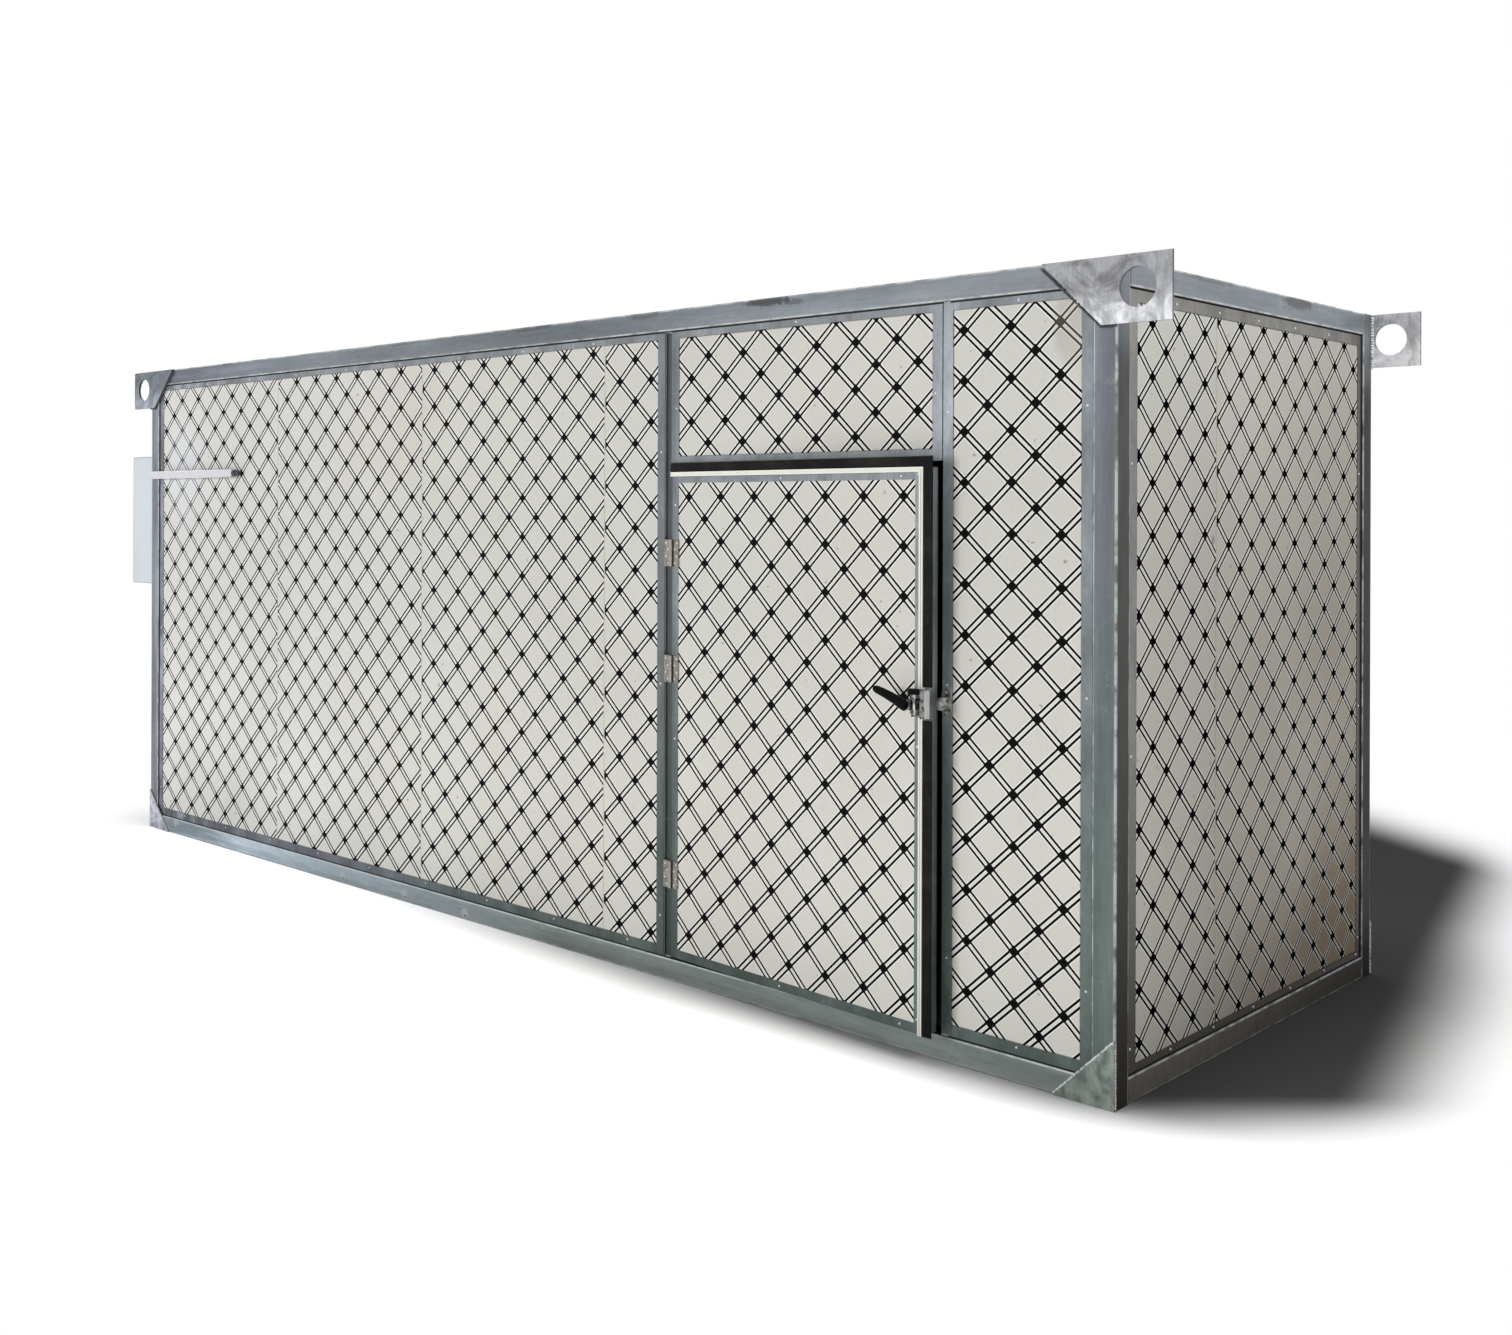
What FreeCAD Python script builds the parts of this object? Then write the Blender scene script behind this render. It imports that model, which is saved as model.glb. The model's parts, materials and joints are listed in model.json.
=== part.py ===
import FreeCAD, Part
import math
import os

# Electric drying chamber: a welded frame of square tube, filled with sandwich panels.
# X runs along the chamber with the door towards +X, the front faces -Y, Z is up.
# The origin is the middle of the base, on the floor. All lengths are millimetres.

os.makedirs("parts", exist_ok=True)

V = FreeCAD.Vector

# Whole chamber
LENGTH = 5880.0
WIDTH = 1920.0
HEIGHT = 2500.0

# Frame of square hollow section
TUBE = 80.0
TUBE_WALL = 3.0
TUBE_CORNER = 6.0
CROSS_MEMBER_WIDTH = 60.0
CROSS_MEMBER_HEIGHT = 20.0
CROSS_MEMBERS = 5

# Sandwich panels, set back behind the faces of the tubes
PANEL_THICKNESS = 60.0
PANEL_SETBACK = 10.0
PANEL_MODULE = 1190.0
PANEL_JOINT = 1.0
FIRST_FRONT_PANEL = 1205.0
FIRST_END_PANEL = 575.0

# Galvanised edging around each bay
TRIM_THICKNESS = 2.0
TRIM_SIDE = 37.0
TRIM_FRONT_TOP = 28.0
TRIM_FRONT_BOTTOM = 38.0
TRIM_END_TOP = 42.0
TRIM_END_BOTTOM = 25.0
TRIM_RIGHT_END_NEAR = 52.0
TRIM_RIGHT_END_FAR = 30.0
TRIM_GAP = 3.0
TRIM_GAP_TOP = 5.0
TRIM_JOINT = 0.5

# Doorway in the front wall
DOORWAY_FROM_END = 619.0
DOORWAY_WIDTH = 1226.0
DOORWAY_TOP = 1914.0
HINGE_POST_WIDTH = 40.0
HINGE_POST_SETBACK = 20.0
LOCK_POST_WIDTH = 30.0
HEADER_HEIGHT = 30.0
DOOR_TRIM_LAP = 4.0

# Door leaf
LEAF_THICKNESS = 64.0
LEAF_HINGE_GAP = 6.0
LEAF_LOCK_GAP = 20.0
LEAF_TOP_GAP = 21.0
LEAF_SILL_GAP = 6.0
LEAF_TRIM = 32.0
LEAF_TRIM_AT_SEAL = 24.0
LEAF_CHANNEL = 2.0
LEAF_AJAR = 3.2

# Seal on the top and lock edges of the leaf
STRIP_WIDTH = 16.0
STRIP_HEIGHT = 12.0
STRIP_RIDGE = 6.0
STRIP_GROOVE = 3.0
LIP_REACH = 36.0
LIP_THICKNESS = 4.0
LIP_CLEARANCE = 5.0
LIP_GROOVE_WIDTH = 4.0
LIP_GROOVE_DEPTH = 4.0
LIP_EDGE = 2.0
LIP_NOTCH_MARGIN = 8.0

# Butt hinges
HINGE_HEIGHTS = (393.0, 1160.0, 1592.0)
HINGE_LENGTH = 100.0
HINGE_OPEN_WIDTH = 75.0
HINGE_LEAF_THICKNESS = 3.0
HINGE_KNUCKLE_RADIUS = 6.5
HINGE_PIN_RADIUS = 3.0
HINGE_PIN_CLEARANCE = 0.2
HINGE_KNUCKLES = 5
HINGE_KNUCKLE_GAP = 0.6
HINGE_OFFSET = 2.0

# Lever latch on the lock edge of the leaf
LATCH_HEIGHT = 90.0
LATCH_CENTRE = 1142.0
LATCH_BEYOND_LEAF = 30.0
LATCH_WIDTH = 72.0
LATCH_PLATE = 3.0
LATCH_CASE_WIDTH = 18.0
LATCH_CASE_DEPTH = 24.0
LATCH_LUG_THICKNESS = 12.0
LATCH_LUG_GAP = 36.0
LATCH_LUG_RADIUS = 12.0
LATCH_HUB_RADIUS = 11.0
LATCH_ARM_TOP = 8.0
LATCH_LEVER_PLAY = 0.5
LATCH_PIN_RADIUS = 4.0
LATCH_PIN_CLEARANCE = 0.25
LATCH_PIVOT_FROM_CASE = 28.0
LATCH_PIVOT_OUT = 20.0
LATCH_CAP_LENGTH = 46.0
LATCH_CAP_WIDTH = 26.0
LATCH_CAP_HEIGHT = 18.0
LATCH_CAP_ROUNDING = 5.0
LATCH_PIN_HEAD = 1.0
GRIP_START = 8.0
GRIP_LENGTH = 124.0
GRIP_RISE = 50.0
GRIP_BOW = 0.07
GRIP_DROP = 7.0
GRIP_LEAN = 14.0
GRIP_OUT = 27.0
GRIP_HUB_HEIGHT = 37.0
GRIP_TIP_HEIGHT = 25.0
GRIP_FLATNESS = 0.70
GRIP_STATIONS = (
    (0.0, 0.90), (0.06, 1.0), (0.30, 1.0), (0.55, 1.0), (0.80, 0.98), (0.93, 0.88), (0.98, 0.64), (1.0, 0.36),
)

# Keeper on the lock side of the doorway
KEEPER_WIDTH = 36.0
KEEPER_HEIGHT = 88.0
KEEPER_THICKNESS = 3.0
KEEPER_SHEET = 2.5
KEEPER_LAP = 1.0
STRIKE_SETBACK = 17.0
STRIKE_WIDTH = 16.0
STRIKE_REACH = 52.0
STRIKE_HEIGHT = 38.0

# Lifting plates at the top corners and gussets at the bottom corners
PLATE_THICKNESS = 10.0
PLATE_HEIGHT = 200.0
PLATE_BEYOND = 178.0
PLATE_TOP_LAP = 250.0
PLATE_BOTTOM_LAP = 48.0
PLATE_HOLE_RADIUS = 59.0
PLATE_HOLE_BEYOND = 70.0
PLATE_HOLE_DROP = 97.0
GUSSET_LEG = 206.0
GUSSET_THICKNESS = 5.0

# Control cabinet on the left end and the cable trunking that leads to it
CABINET_WIDTH = 500.0
CABINET_DEPTH = 215.0
CABINET_HEIGHT = 700.0
CABINET_BELOW_TOP = 465.0
CABINET_INSET = 12.0
CABINET_DOOR = 20.0
CABINET_DOOR_GAP = 0.3
CABINET_RADIUS = 6.0
TRUNKING_HEIGHT = 40.0
TRUNKING_DEPTH = 25.0
TRUNKING_LENGTH = 886.0
TRUNKING_INSET = 9.0
TRUNKING_BELOW_TOP = 549.0
GLAND_LENGTH = 58.0
GLAND_RADIUS = 14.0
GLAND_NECK_RADIUS = 11.0
ELBOW_RADIUS = 8.0

# Tolerances for finding edges on a finished shape
PARALLEL = 0.045
EDGE_TOLERANCE = 0.5

# Derived levels of the wall layers, measured inwards from the face of the tubes
TRIM_FACE = PANEL_SETBACK - TRIM_THICKNESS
PANEL_INNER = PANEL_SETBACK + PANEL_THICKNESS
BAY_BOTTOM = TUBE
BAY_TOP = HEIGHT - TUBE

# Derived places of the cabinet, the doorway and the leaf
CABINET_TOP = HEIGHT - CABINET_BELOW_TOP
TRUNKING_TOP = HEIGHT - TRUNKING_BELOW_TOP
DOORWAY_RIGHT = LENGTH / 2 - DOORWAY_FROM_END
DOORWAY_LEFT = DOORWAY_RIGHT - DOORWAY_WIDTH
LEAF_WIDTH = DOORWAY_WIDTH - LEAF_HINGE_GAP - LEAF_LOCK_GAP
LEAF_BOTTOM = BAY_BOTTOM + LEAF_SILL_GAP
LEAF_TOP = DOORWAY_TOP - LEAF_TOP_GAP
HINGE_X = DOORWAY_LEFT + LEAF_HINGE_GAP - HINGE_OFFSET
HINGE_Y = -WIDTH / 2 + TRIM_FACE - HINGE_KNUCKLE_RADIUS


def box(x0, x1, y0, y1, z0, z1):
    """A block between two corners."""
    return Part.makeBox(x1 - x0, y1 - y0, z1 - z0, V(x0, y0, z0))


def rod(radius, start, length, axis):
    """A round bar."""
    return Part.makeCylinder(radius, length, start, axis)


def long_edges(shape, axis):
    """The straight edges that run along an axis."""
    found = []
    for edge in shape.Edges:
        along = edge.tangentAt(edge.FirstParameter)
        if along.cross(axis).Length < PARALLEL:
            found.append(edge)
    return found


def square_tube(x0, x1, y0, y1, z0, z1, axis, cap):
    """A hollow section with rounded edges; cap is the thickness left at its ends."""
    bar = box(x0, x1, y0, y1, z0, z1)
    bar = bar.makeFillet(TUBE_CORNER, long_edges(bar, axis))
    side = V(TUBE_WALL, TUBE_WALL, TUBE_WALL)
    end = V(axis.x * (cap - TUBE_WALL), axis.y * (cap - TUBE_WALL), axis.z * (cap - TUBE_WALL))
    low = V(x0, y0, z0) + side + end
    high = V(x1, y1, z1) - side - end
    return bar.cut(box(low.x, high.x, low.y, high.y, low.z, high.z))


class Wall:
    """One side of the chamber, drawn as if it were the front and then turned about Z."""

    def __init__(self, length, half_depth, turn):
        self.length = length
        self.half_depth = half_depth
        self.turn = turn

    def block(self, u0, u1, depth0, depth1, z0, z1):
        """A block by its place along the wall, its depth behind the tube face and its height."""
        face = -self.half_depth
        shape = box(u0, u1, face + depth0, face + depth1, z0, z1)
        shape.rotate(V(0, 0, 0), V(0, 0, 1), self.turn)
        return shape

    def bay(self):
        """The two ends of the space between the corner posts."""
        half = self.length / 2 - TUBE
        return -half, half


FRONT = Wall(LENGTH, WIDTH / 2, 0.0)
RIGHT = Wall(WIDTH, LENGTH / 2, 90.0)
BACK = Wall(LENGTH, WIDTH / 2, 180.0)
LEFT = Wall(WIDTH, LENGTH / 2, 270.0)


def panel_row(wall, start, end, first, z0, z1):
    """Sandwich panels side by side along a bay, with a fine joint between each pair."""
    solids = []
    left = start
    right = start + first
    while left < end:
        stop = min(right, end)
        edge = stop if stop == end else stop - PANEL_JOINT
        solids.append(wall.block(left, edge, PANEL_SETBACK, PANEL_INNER, z0, z1))
        left = stop
        right = stop + PANEL_MODULE
    return Part.makeCompound(solids)


def trim_frame(wall, start, end, z0, z1, left, right, bottom, top):
    """The edging of a bay: two upright strips with two level strips fitted between them."""
    inner_left = start + left + TRIM_JOINT
    inner_right = end - right - TRIM_JOINT
    strips = [
        wall.block(start, start + left, TRIM_FACE, PANEL_SETBACK, z0, z1),
        wall.block(end - right, end, TRIM_FACE, PANEL_SETBACK, z0, z1),
        wall.block(inner_left, inner_right, TRIM_FACE, PANEL_SETBACK, z0, z0 + bottom),
        wall.block(inner_left, inner_right, TRIM_FACE, PANEL_SETBACK, z1 - top, z1),
    ]
    return Part.makeCompound(strips)


def long_rail(side, z0):
    """A rail along the front or the back, between the corner posts."""
    y0 = -WIDTH / 2 if side < 0 else WIDTH / 2 - TUBE
    half = LENGTH / 2 - TUBE
    return square_tube(-half, half, y0, y0 + TUBE, z0, z0 + TUBE, V(1, 0, 0), 0.0)


def short_rail(side, z0):
    """A rail across an end, between the corner posts."""
    x0 = -LENGTH / 2 if side < 0 else LENGTH / 2 - TUBE
    half = WIDTH / 2 - TUBE
    return square_tube(x0, x0 + TUBE, -half, half, z0, z0 + TUBE, V(0, 1, 0), 0.0)


def corner_post(side_x, side_y):
    """A corner post, closed at both ends."""
    x0 = -LENGTH / 2 if side_x < 0 else LENGTH / 2 - TUBE
    y0 = -WIDTH / 2 if side_y < 0 else WIDTH / 2 - TUBE
    return square_tube(x0, x0 + TUBE, y0, y0 + TUBE, 0.0, HEIGHT, V(0, 0, 1), TUBE_WALL)


def base_cross_members():
    """Flat tubes under the floor, from the front rail to the back rail."""
    bars = []
    half = WIDTH / 2 - TUBE
    pitch = (LENGTH - 2 * TUBE) / (CROSS_MEMBERS + 1)
    for number in range(CROSS_MEMBERS):
        x = -LENGTH / 2 + TUBE + pitch * (number + 1)
        low = x - CROSS_MEMBER_WIDTH / 2
        bars.append(box(low, low + CROSS_MEMBER_WIDTH, -half, half, 0.0, CROSS_MEMBER_HEIGHT))
    return Part.makeCompound(bars)


def hinge_post():
    """The post that carries the hinges, set back behind the edging."""
    y0 = -WIDTH / 2 + HINGE_POST_SETBACK
    y1 = -WIDTH / 2 + PANEL_INNER
    return box(DOORWAY_LEFT - HINGE_POST_WIDTH, DOORWAY_LEFT, y0, y1, BAY_BOTTOM, BAY_TOP)


def lock_post():
    """The post on the lock side of the doorway."""
    y0 = -WIDTH / 2 + PANEL_SETBACK
    y1 = -WIDTH / 2 + PANEL_INNER
    return box(DOORWAY_RIGHT, DOORWAY_RIGHT + LOCK_POST_WIDTH, y0, y1, BAY_BOTTOM, BAY_TOP)


def door_header():
    """The rail over the doorway, between the two door posts."""
    y0 = -WIDTH / 2 + PANEL_SETBACK
    y1 = -WIDTH / 2 + PANEL_INNER
    return box(DOORWAY_LEFT, DOORWAY_RIGHT, y0, y1, DOORWAY_TOP, DOORWAY_TOP + HEADER_HEIGHT)


def lifting_plate(side_x, side_y):
    """A plate welded outside a top corner, with a large round lifting hole."""
    corner = LENGTH / 2
    inner_top = corner - PLATE_TOP_LAP
    inner_bottom = corner - PLATE_BOTTOM_LAP
    outer = corner + PLATE_BEYOND
    low = HEIGHT - PLATE_HEIGHT
    outline = [
        V(inner_top, 0, HEIGHT),
        V(outer, 0, HEIGHT),
        V(outer, 0, low),
        V(inner_bottom, 0, low),
        V(inner_top, 0, HEIGHT),
    ]
    plate = Part.Face(Part.makePolygon(outline)).extrude(V(0, -PLATE_THICKNESS, 0))
    centre = V(corner + PLATE_HOLE_BEYOND, PLATE_THICKNESS, HEIGHT - PLATE_HOLE_DROP)
    plate = plate.cut(rod(PLATE_HOLE_RADIUS, centre, 3 * PLATE_THICKNESS, V(0, -1, 0)))
    return to_corner(plate, side_x, side_y)


def gusset(side_x, side_y):
    """A triangular plate welded over a bottom corner."""
    corner = LENGTH / 2
    outline = [V(corner, 0, 0), V(corner, 0, GUSSET_LEG), V(corner - GUSSET_LEG, 0, 0), V(corner, 0, 0)]
    plate = Part.Face(Part.makePolygon(outline)).extrude(V(0, -GUSSET_THICKNESS, 0))
    return to_corner(plate, side_x, side_y)


def to_corner(plate, side_x, side_y):
    """Takes a plate drawn for the right-hand front corner to any corner."""
    plate.translate(V(0, -WIDTH / 2, 0))
    if side_x < 0:
        plate = plate.mirror(V(0, 0, 0), V(1, 0, 0))
    if side_y > 0:
        plate = plate.mirror(V(0, 0, 0), V(0, 1, 0))
    return plate


def corner_gussets():
    """The gussets of the four bottom corners."""
    return Part.makeCompound([gusset(x, y) for x in (-1, 1) for y in (-1, 1)])


def flat_panels(z0):
    """Panels laid across the chamber between the rails, for the floor or the roof."""
    slabs = []
    end = LENGTH / 2 - TUBE
    half = WIDTH / 2 - TUBE
    left = -end
    right = left + FIRST_FRONT_PANEL
    while left < end:
        stop = min(right, end)
        edge = stop if stop == end else stop - PANEL_JOINT
        slabs.append(box(left, edge, -half, half, z0, z0 + PANEL_THICKNESS))
        left = stop
        right = stop + PANEL_MODULE
    return Part.makeCompound(slabs)


def roof_trim():
    """The edging around the roof panels."""
    end = LENGTH / 2 - TUBE
    half = WIDTH / 2 - TUBE
    z0 = HEIGHT - PANEL_SETBACK
    z1 = z0 + TRIM_THICKNESS
    plate = box(-end, end, -half, half, z0, z1)
    return plate.cut(box(-end + TRIM_SIDE, end - TRIM_SIDE, -half + TRIM_SIDE, half - TRIM_SIDE, z0, z1))


def leaf_block(u0, u1, w0, w1, z0, z1):
    """A block on the leaf, measured from the hinge axis: u along the leaf, w into the chamber."""
    return box(HINGE_X + u0, HINGE_X + u1, HINGE_Y + w0, HINGE_Y + w1, z0, z1)


# Places on the leaf, measured from the hinge axis
LEAF_START = DOORWAY_LEFT + LEAF_HINGE_GAP - HINGE_X
LEAF_END = LEAF_START + LEAF_WIDTH
LEAF_FACE = HINGE_KNUCKLE_RADIUS
STRIP_FACE = LEAF_FACE - STRIP_HEIGHT
LATCH_END = LEAF_END + LATCH_BEYOND_LEAF
LATCH_START = LATCH_END - LATCH_WIDTH
LATCH_BOTTOM = LATCH_CENTRE - LATCH_HEIGHT / 2
LATCH_TOP = LATCH_CENTRE + LATCH_HEIGHT / 2
LATCH_FACE = STRIP_FACE - LATCH_PLATE
PIVOT_U = LATCH_END - LATCH_CASE_WIDTH - LATCH_PIVOT_FROM_CASE
PIVOT_W = LATCH_FACE - LATCH_PIVOT_OUT


def door_panel():
    """The insulated core and skins of the leaf, inside its edging channel."""
    skin = LEAF_CHANNEL
    return leaf_block(
        LEAF_START + skin, LEAF_END - skin, LEAF_FACE + skin, LEAF_FACE + LEAF_THICKNESS - skin,
        LEAF_BOTTOM + skin, LEAF_TOP - skin,
    )


def door_trim():
    """The galvanised channel around the leaf: it laps its front and back and covers its edges."""
    skin = LEAF_CHANNEL
    seal_side = LEAF_TRIM_AT_SEAL + STRIP_WIDTH
    back = LEAF_FACE + LEAF_THICKNESS
    channel = leaf_block(LEAF_START, LEAF_END, LEAF_FACE, back, LEAF_BOTTOM, LEAF_TOP)
    channel = channel.cut(leaf_block(
        LEAF_START + skin, LEAF_END - skin, LEAF_FACE + skin, back - skin, LEAF_BOTTOM + skin, LEAF_TOP - skin))
    channel = channel.cut(leaf_block(
        LEAF_START + LEAF_TRIM, LEAF_END - seal_side, LEAF_FACE, LEAF_FACE + skin,
        LEAF_BOTTOM + LEAF_TRIM, LEAF_TOP - seal_side))
    return channel.cut(leaf_block(
        LEAF_START + LEAF_TRIM, LEAF_END - LEAF_TRIM, back - skin, back,
        LEAF_BOTTOM + LEAF_TRIM, LEAF_TOP - LEAF_TRIM))


def strip_outline():
    """The carrier's profile: distance back from the leaf's edge, then height over the leaf."""
    return [
        (0.0, 0.0),
        (0.0, STRIP_HEIGHT),
        (STRIP_RIDGE, STRIP_HEIGHT),
        (STRIP_RIDGE, STRIP_HEIGHT - STRIP_GROOVE),
        (STRIP_WIDTH - STRIP_RIDGE, STRIP_HEIGHT - STRIP_GROOVE),
        (STRIP_WIDTH - STRIP_RIDGE, STRIP_HEIGHT),
        (STRIP_WIDTH, STRIP_HEIGHT),
        (STRIP_WIDTH, 0.0),
    ]


def lip_outline():
    """The rubber's profile: a groove beside the carrier, a crowned face and a thin outer edge."""
    near = STRIP_HEIGHT - LIP_GROOVE_DEPTH
    return [
        (0.0, near - LIP_THICKNESS),
        (0.0, near),
        (-LIP_GROOVE_WIDTH, near),
        (-LIP_GROOVE_WIDTH, STRIP_HEIGHT),
        (-LIP_REACH + LIP_EDGE, LIP_CLEARANCE + LIP_THICKNESS),
        (-LIP_REACH, LIP_CLEARANCE + LIP_EDGE),
        (-LIP_REACH, LIP_CLEARANCE),
        (-LIP_GROOVE_WIDTH, LIP_CLEARANCE),
    ]


def edge_profile(outline):
    """Runs a profile along the lock edge and the top edge, mitred at the corner."""
    bottom = LEAF_BOTTOM
    start = LEAF_START
    pieces = []
    reach = LEAF_END + LEAF_TOP
    side = [V(HINGE_X + LEAF_END - s, HINGE_Y + LEAF_FACE - h, bottom) for s, h in outline]
    side.append(side[0])
    upright = Part.Face(Part.makePolygon(side)).extrude(V(0, 0, reach))
    top = [V(HINGE_X + start, HINGE_Y + LEAF_FACE - h, LEAF_TOP - s) for s, h in outline]
    top.append(top[0])
    across = Part.Face(Part.makePolygon(top)).extrude(V(reach, 0, 0))
    for length, keep in ((upright, 1), (across, -1)):
        pieces.append(length.common(mitre_half(keep)))
    return pieces[0].fuse(pieces[1]).removeSplitter()


def mitre_half(side):
    """Half of the space at the leaf's upper lock corner: below the mitre line, or above it."""
    corner_x = HINGE_X + LEAF_END
    big = LENGTH
    first = V(corner_x - big, -WIDTH, LEAF_TOP - big)
    second = V(corner_x + big, -WIDTH, LEAF_TOP + big)
    third = V(corner_x + big, -WIDTH, LEAF_TOP - big) if side > 0 else V(corner_x - big, -WIDTH, LEAF_TOP + big)
    wedge = Part.Face(Part.makePolygon([first, second, third, first]))
    return wedge.extrude(V(0, WIDTH, 0))


def door_seal_strip():
    """The cream carrier with two ridges."""
    return edge_profile(strip_outline())


def door_seal_lip():
    """The black rubber lip, interrupted where the latch crosses it."""
    lip = edge_profile(lip_outline())
    notch = leaf_block(
        LEAF_END, LEAF_END + 2 * LIP_REACH, -LIP_REACH, LIP_REACH,
        LATCH_BOTTOM - LIP_NOTCH_MARGIN, LATCH_TOP + LIP_NOTCH_MARGIN,
    )
    return lip.cut(notch)


def knuckle_span(number):
    """The lower and upper end of one knuckle of a hinge, from the hinge's own lower end."""
    pitch = HINGE_LENGTH / HINGE_KNUCKLES
    return number * pitch + HINGE_KNUCKLE_GAP / 2, (number + 1) * pitch - HINGE_KNUCKLE_GAP / 2


def hinge_wing(side, centre):
    """One wing of a hinge with its knuckles. side is -1 on the post and 1 on the leaf."""
    low = centre - HINGE_LENGTH / 2
    high = low + HINGE_LENGTH
    pitch = HINGE_LENGTH / HINGE_KNUCKLES
    inner = side * HINGE_KNUCKLE_GAP
    outer = side * HINGE_OPEN_WIDTH / 2
    u0, u1 = min(outer, inner), max(outer, inner)
    w1 = LEAF_FACE
    w0 = w1 - HINGE_LEAF_THICKNESS
    clear = HINGE_KNUCKLE_RADIUS + HINGE_KNUCKLE_GAP
    plate = leaf_block(u0, u1, w0, w1, low, high)
    axis_foot = V(HINGE_X, HINGE_Y, low)
    for number in range(HINGE_KNUCKLES):
        start, end = knuckle_span(number)
        if (number % 2 == 0) == (side < 0):
            knuckle = rod(HINGE_KNUCKLE_RADIUS, axis_foot + V(0, 0, start), end - start, V(0, 0, 1))
            plate = plate.fuse(knuckle)
        else:
            z0 = low + number * pitch
            plate = plate.cut(leaf_block(-clear, clear, w0 - clear, w1 + clear, z0, z0 + pitch))
    if side < 0:
        packer = leaf_block(u0, -clear, w1, w1 + HINGE_POST_SETBACK - TRIM_FACE, low, high)
        plate = plate.fuse(rod(HINGE_PIN_RADIUS, axis_foot, HINGE_LENGTH, V(0, 0, 1))).fuse(packer)
    else:
        plate = plate.cut(rod(HINGE_PIN_RADIUS + HINGE_PIN_CLEARANCE, axis_foot, HINGE_LENGTH, V(0, 0, 1)))
    return plate.removeSplitter()


def hinge_wings(side):
    """The same wing of all three hinges."""
    return Part.makeCompound([hinge_wing(side, height) for height in HINGE_HEIGHTS])


def latch_lug(z0):
    """An ear that holds the lever's pin."""
    around = rod(LATCH_LUG_RADIUS, V(HINGE_X + PIVOT_U, HINGE_Y + PIVOT_W, z0), LATCH_LUG_THICKNESS, V(0, 0, 1))
    neck = leaf_block(
        PIVOT_U - LATCH_LUG_RADIUS, PIVOT_U + LATCH_LUG_RADIUS, PIVOT_W, LATCH_FACE,
        z0, z0 + LATCH_LUG_THICKNESS,
    )
    return around.fuse(neck)


def latch_body():
    """The latch's plate, its case over the lock edge, the two ears and the pin."""
    plate = leaf_block(LATCH_START, LATCH_END, LATCH_FACE, STRIP_FACE, LATCH_BOTTOM, LATCH_TOP)
    packer = leaf_block(LATCH_START, LEAF_END - STRIP_WIDTH, STRIP_FACE, LEAF_FACE, LATCH_BOTTOM, LATCH_TOP)
    case = leaf_block(
        LATCH_END - LATCH_CASE_WIDTH, LATCH_END, LATCH_FACE - LATCH_CASE_DEPTH, LATCH_FACE,
        LATCH_BOTTOM, LATCH_TOP,
    )
    body = plate.fuse(packer).fuse(case)
    lower = LATCH_CENTRE - LATCH_LUG_GAP / 2 - LATCH_LUG_THICKNESS
    upper = LATCH_CENTRE + LATCH_LUG_GAP / 2
    for z0 in (lower, upper):
        body = body.fuse(latch_lug(z0))
    pin_foot = V(HINGE_X + PIVOT_U, HINGE_Y + PIVOT_W, lower)
    pin = rod(LATCH_PIN_RADIUS, pin_foot, upper - lower + LATCH_PIN_HEAD, V(0, 0, 1))
    return body.fuse(pin).removeSplitter()


def latch_cap():
    """The oval cap on top of the upper ear."""
    z0 = LATCH_CENTRE + LATCH_LUG_GAP / 2 + LATCH_LUG_THICKNESS
    centre = V(HINGE_X + PIVOT_U, HINGE_Y + PIVOT_W, z0)
    oval = Part.Ellipse(centre, LATCH_CAP_LENGTH / 2, LATCH_CAP_WIDTH / 2).toShape()
    cap = Part.Face(Part.Wire([oval])).extrude(V(0, 0, LATCH_CAP_HEIGHT))
    top = [edge for edge in cap.Edges if edge.BoundBox.ZMin > z0 + LATCH_CAP_HEIGHT - EDGE_TOLERANCE]
    return cap.makeFillet(LATCH_CAP_ROUNDING, top)


def grip_section(share, fullness):
    """One oval cross-section of the grip, square to its line, at a share of its length from the hub."""
    along = PIVOT_U - GRIP_START - GRIP_LENGTH * share
    out = PIVOT_W - GRIP_OUT - GRIP_LEAN * share
    rise = LATCH_CENTRE - GRIP_DROP + GRIP_RISE * (share + GRIP_BOW * math.sin(math.pi * share))
    slope = GRIP_RISE * (1 + GRIP_BOW * math.pi * math.cos(math.pi * share)) / GRIP_LENGTH
    half = (GRIP_HUB_HEIGHT + (GRIP_TIP_HEIGHT - GRIP_HUB_HEIGHT) * share) * fullness / 2
    oval = Part.Ellipse(V(0, 0, 0), half, half * GRIP_FLATNESS).toShape()
    wire = Part.Wire([oval])
    wire.rotate(V(0, 0, 0), V(0, 1, 0), 90.0)
    wire.rotate(V(0, 0, 0), V(0, 1, 0), math.degrees(math.atan(slope)))
    wire.translate(V(HINGE_X + along, HINGE_Y + out, rise))
    return wire


def lever_grip():
    """The black curved grip, tapering to a rounded tip."""
    return Part.makeLoft([grip_section(share, fullness) for share, fullness in GRIP_STATIONS], True, False)


def latch_lever():
    """The lever's hub on the pin and the arm that enters the grip."""
    half = LATCH_LUG_GAP / 2 - LATCH_LEVER_PLAY
    low = V(HINGE_X + PIVOT_U, HINGE_Y + PIVOT_W, LATCH_CENTRE - half)
    hub = rod(LATCH_HUB_RADIUS, low, 2 * half, V(0, 0, 1))
    arm = leaf_block(
        PIVOT_U - GRIP_START - LATCH_HUB_RADIUS, PIVOT_U + LATCH_HUB_RADIUS / 2, PIVOT_W - GRIP_OUT, PIVOT_W,
        LATCH_CENTRE - half, LATCH_CENTRE + LATCH_ARM_TOP,
    )
    bore = rod(LATCH_PIN_RADIUS + LATCH_PIN_CLEARANCE, low, 2 * half, V(0, 0, 1))
    return hub.fuse(arm).cut(bore).cut(lever_grip()).removeSplitter()


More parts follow.
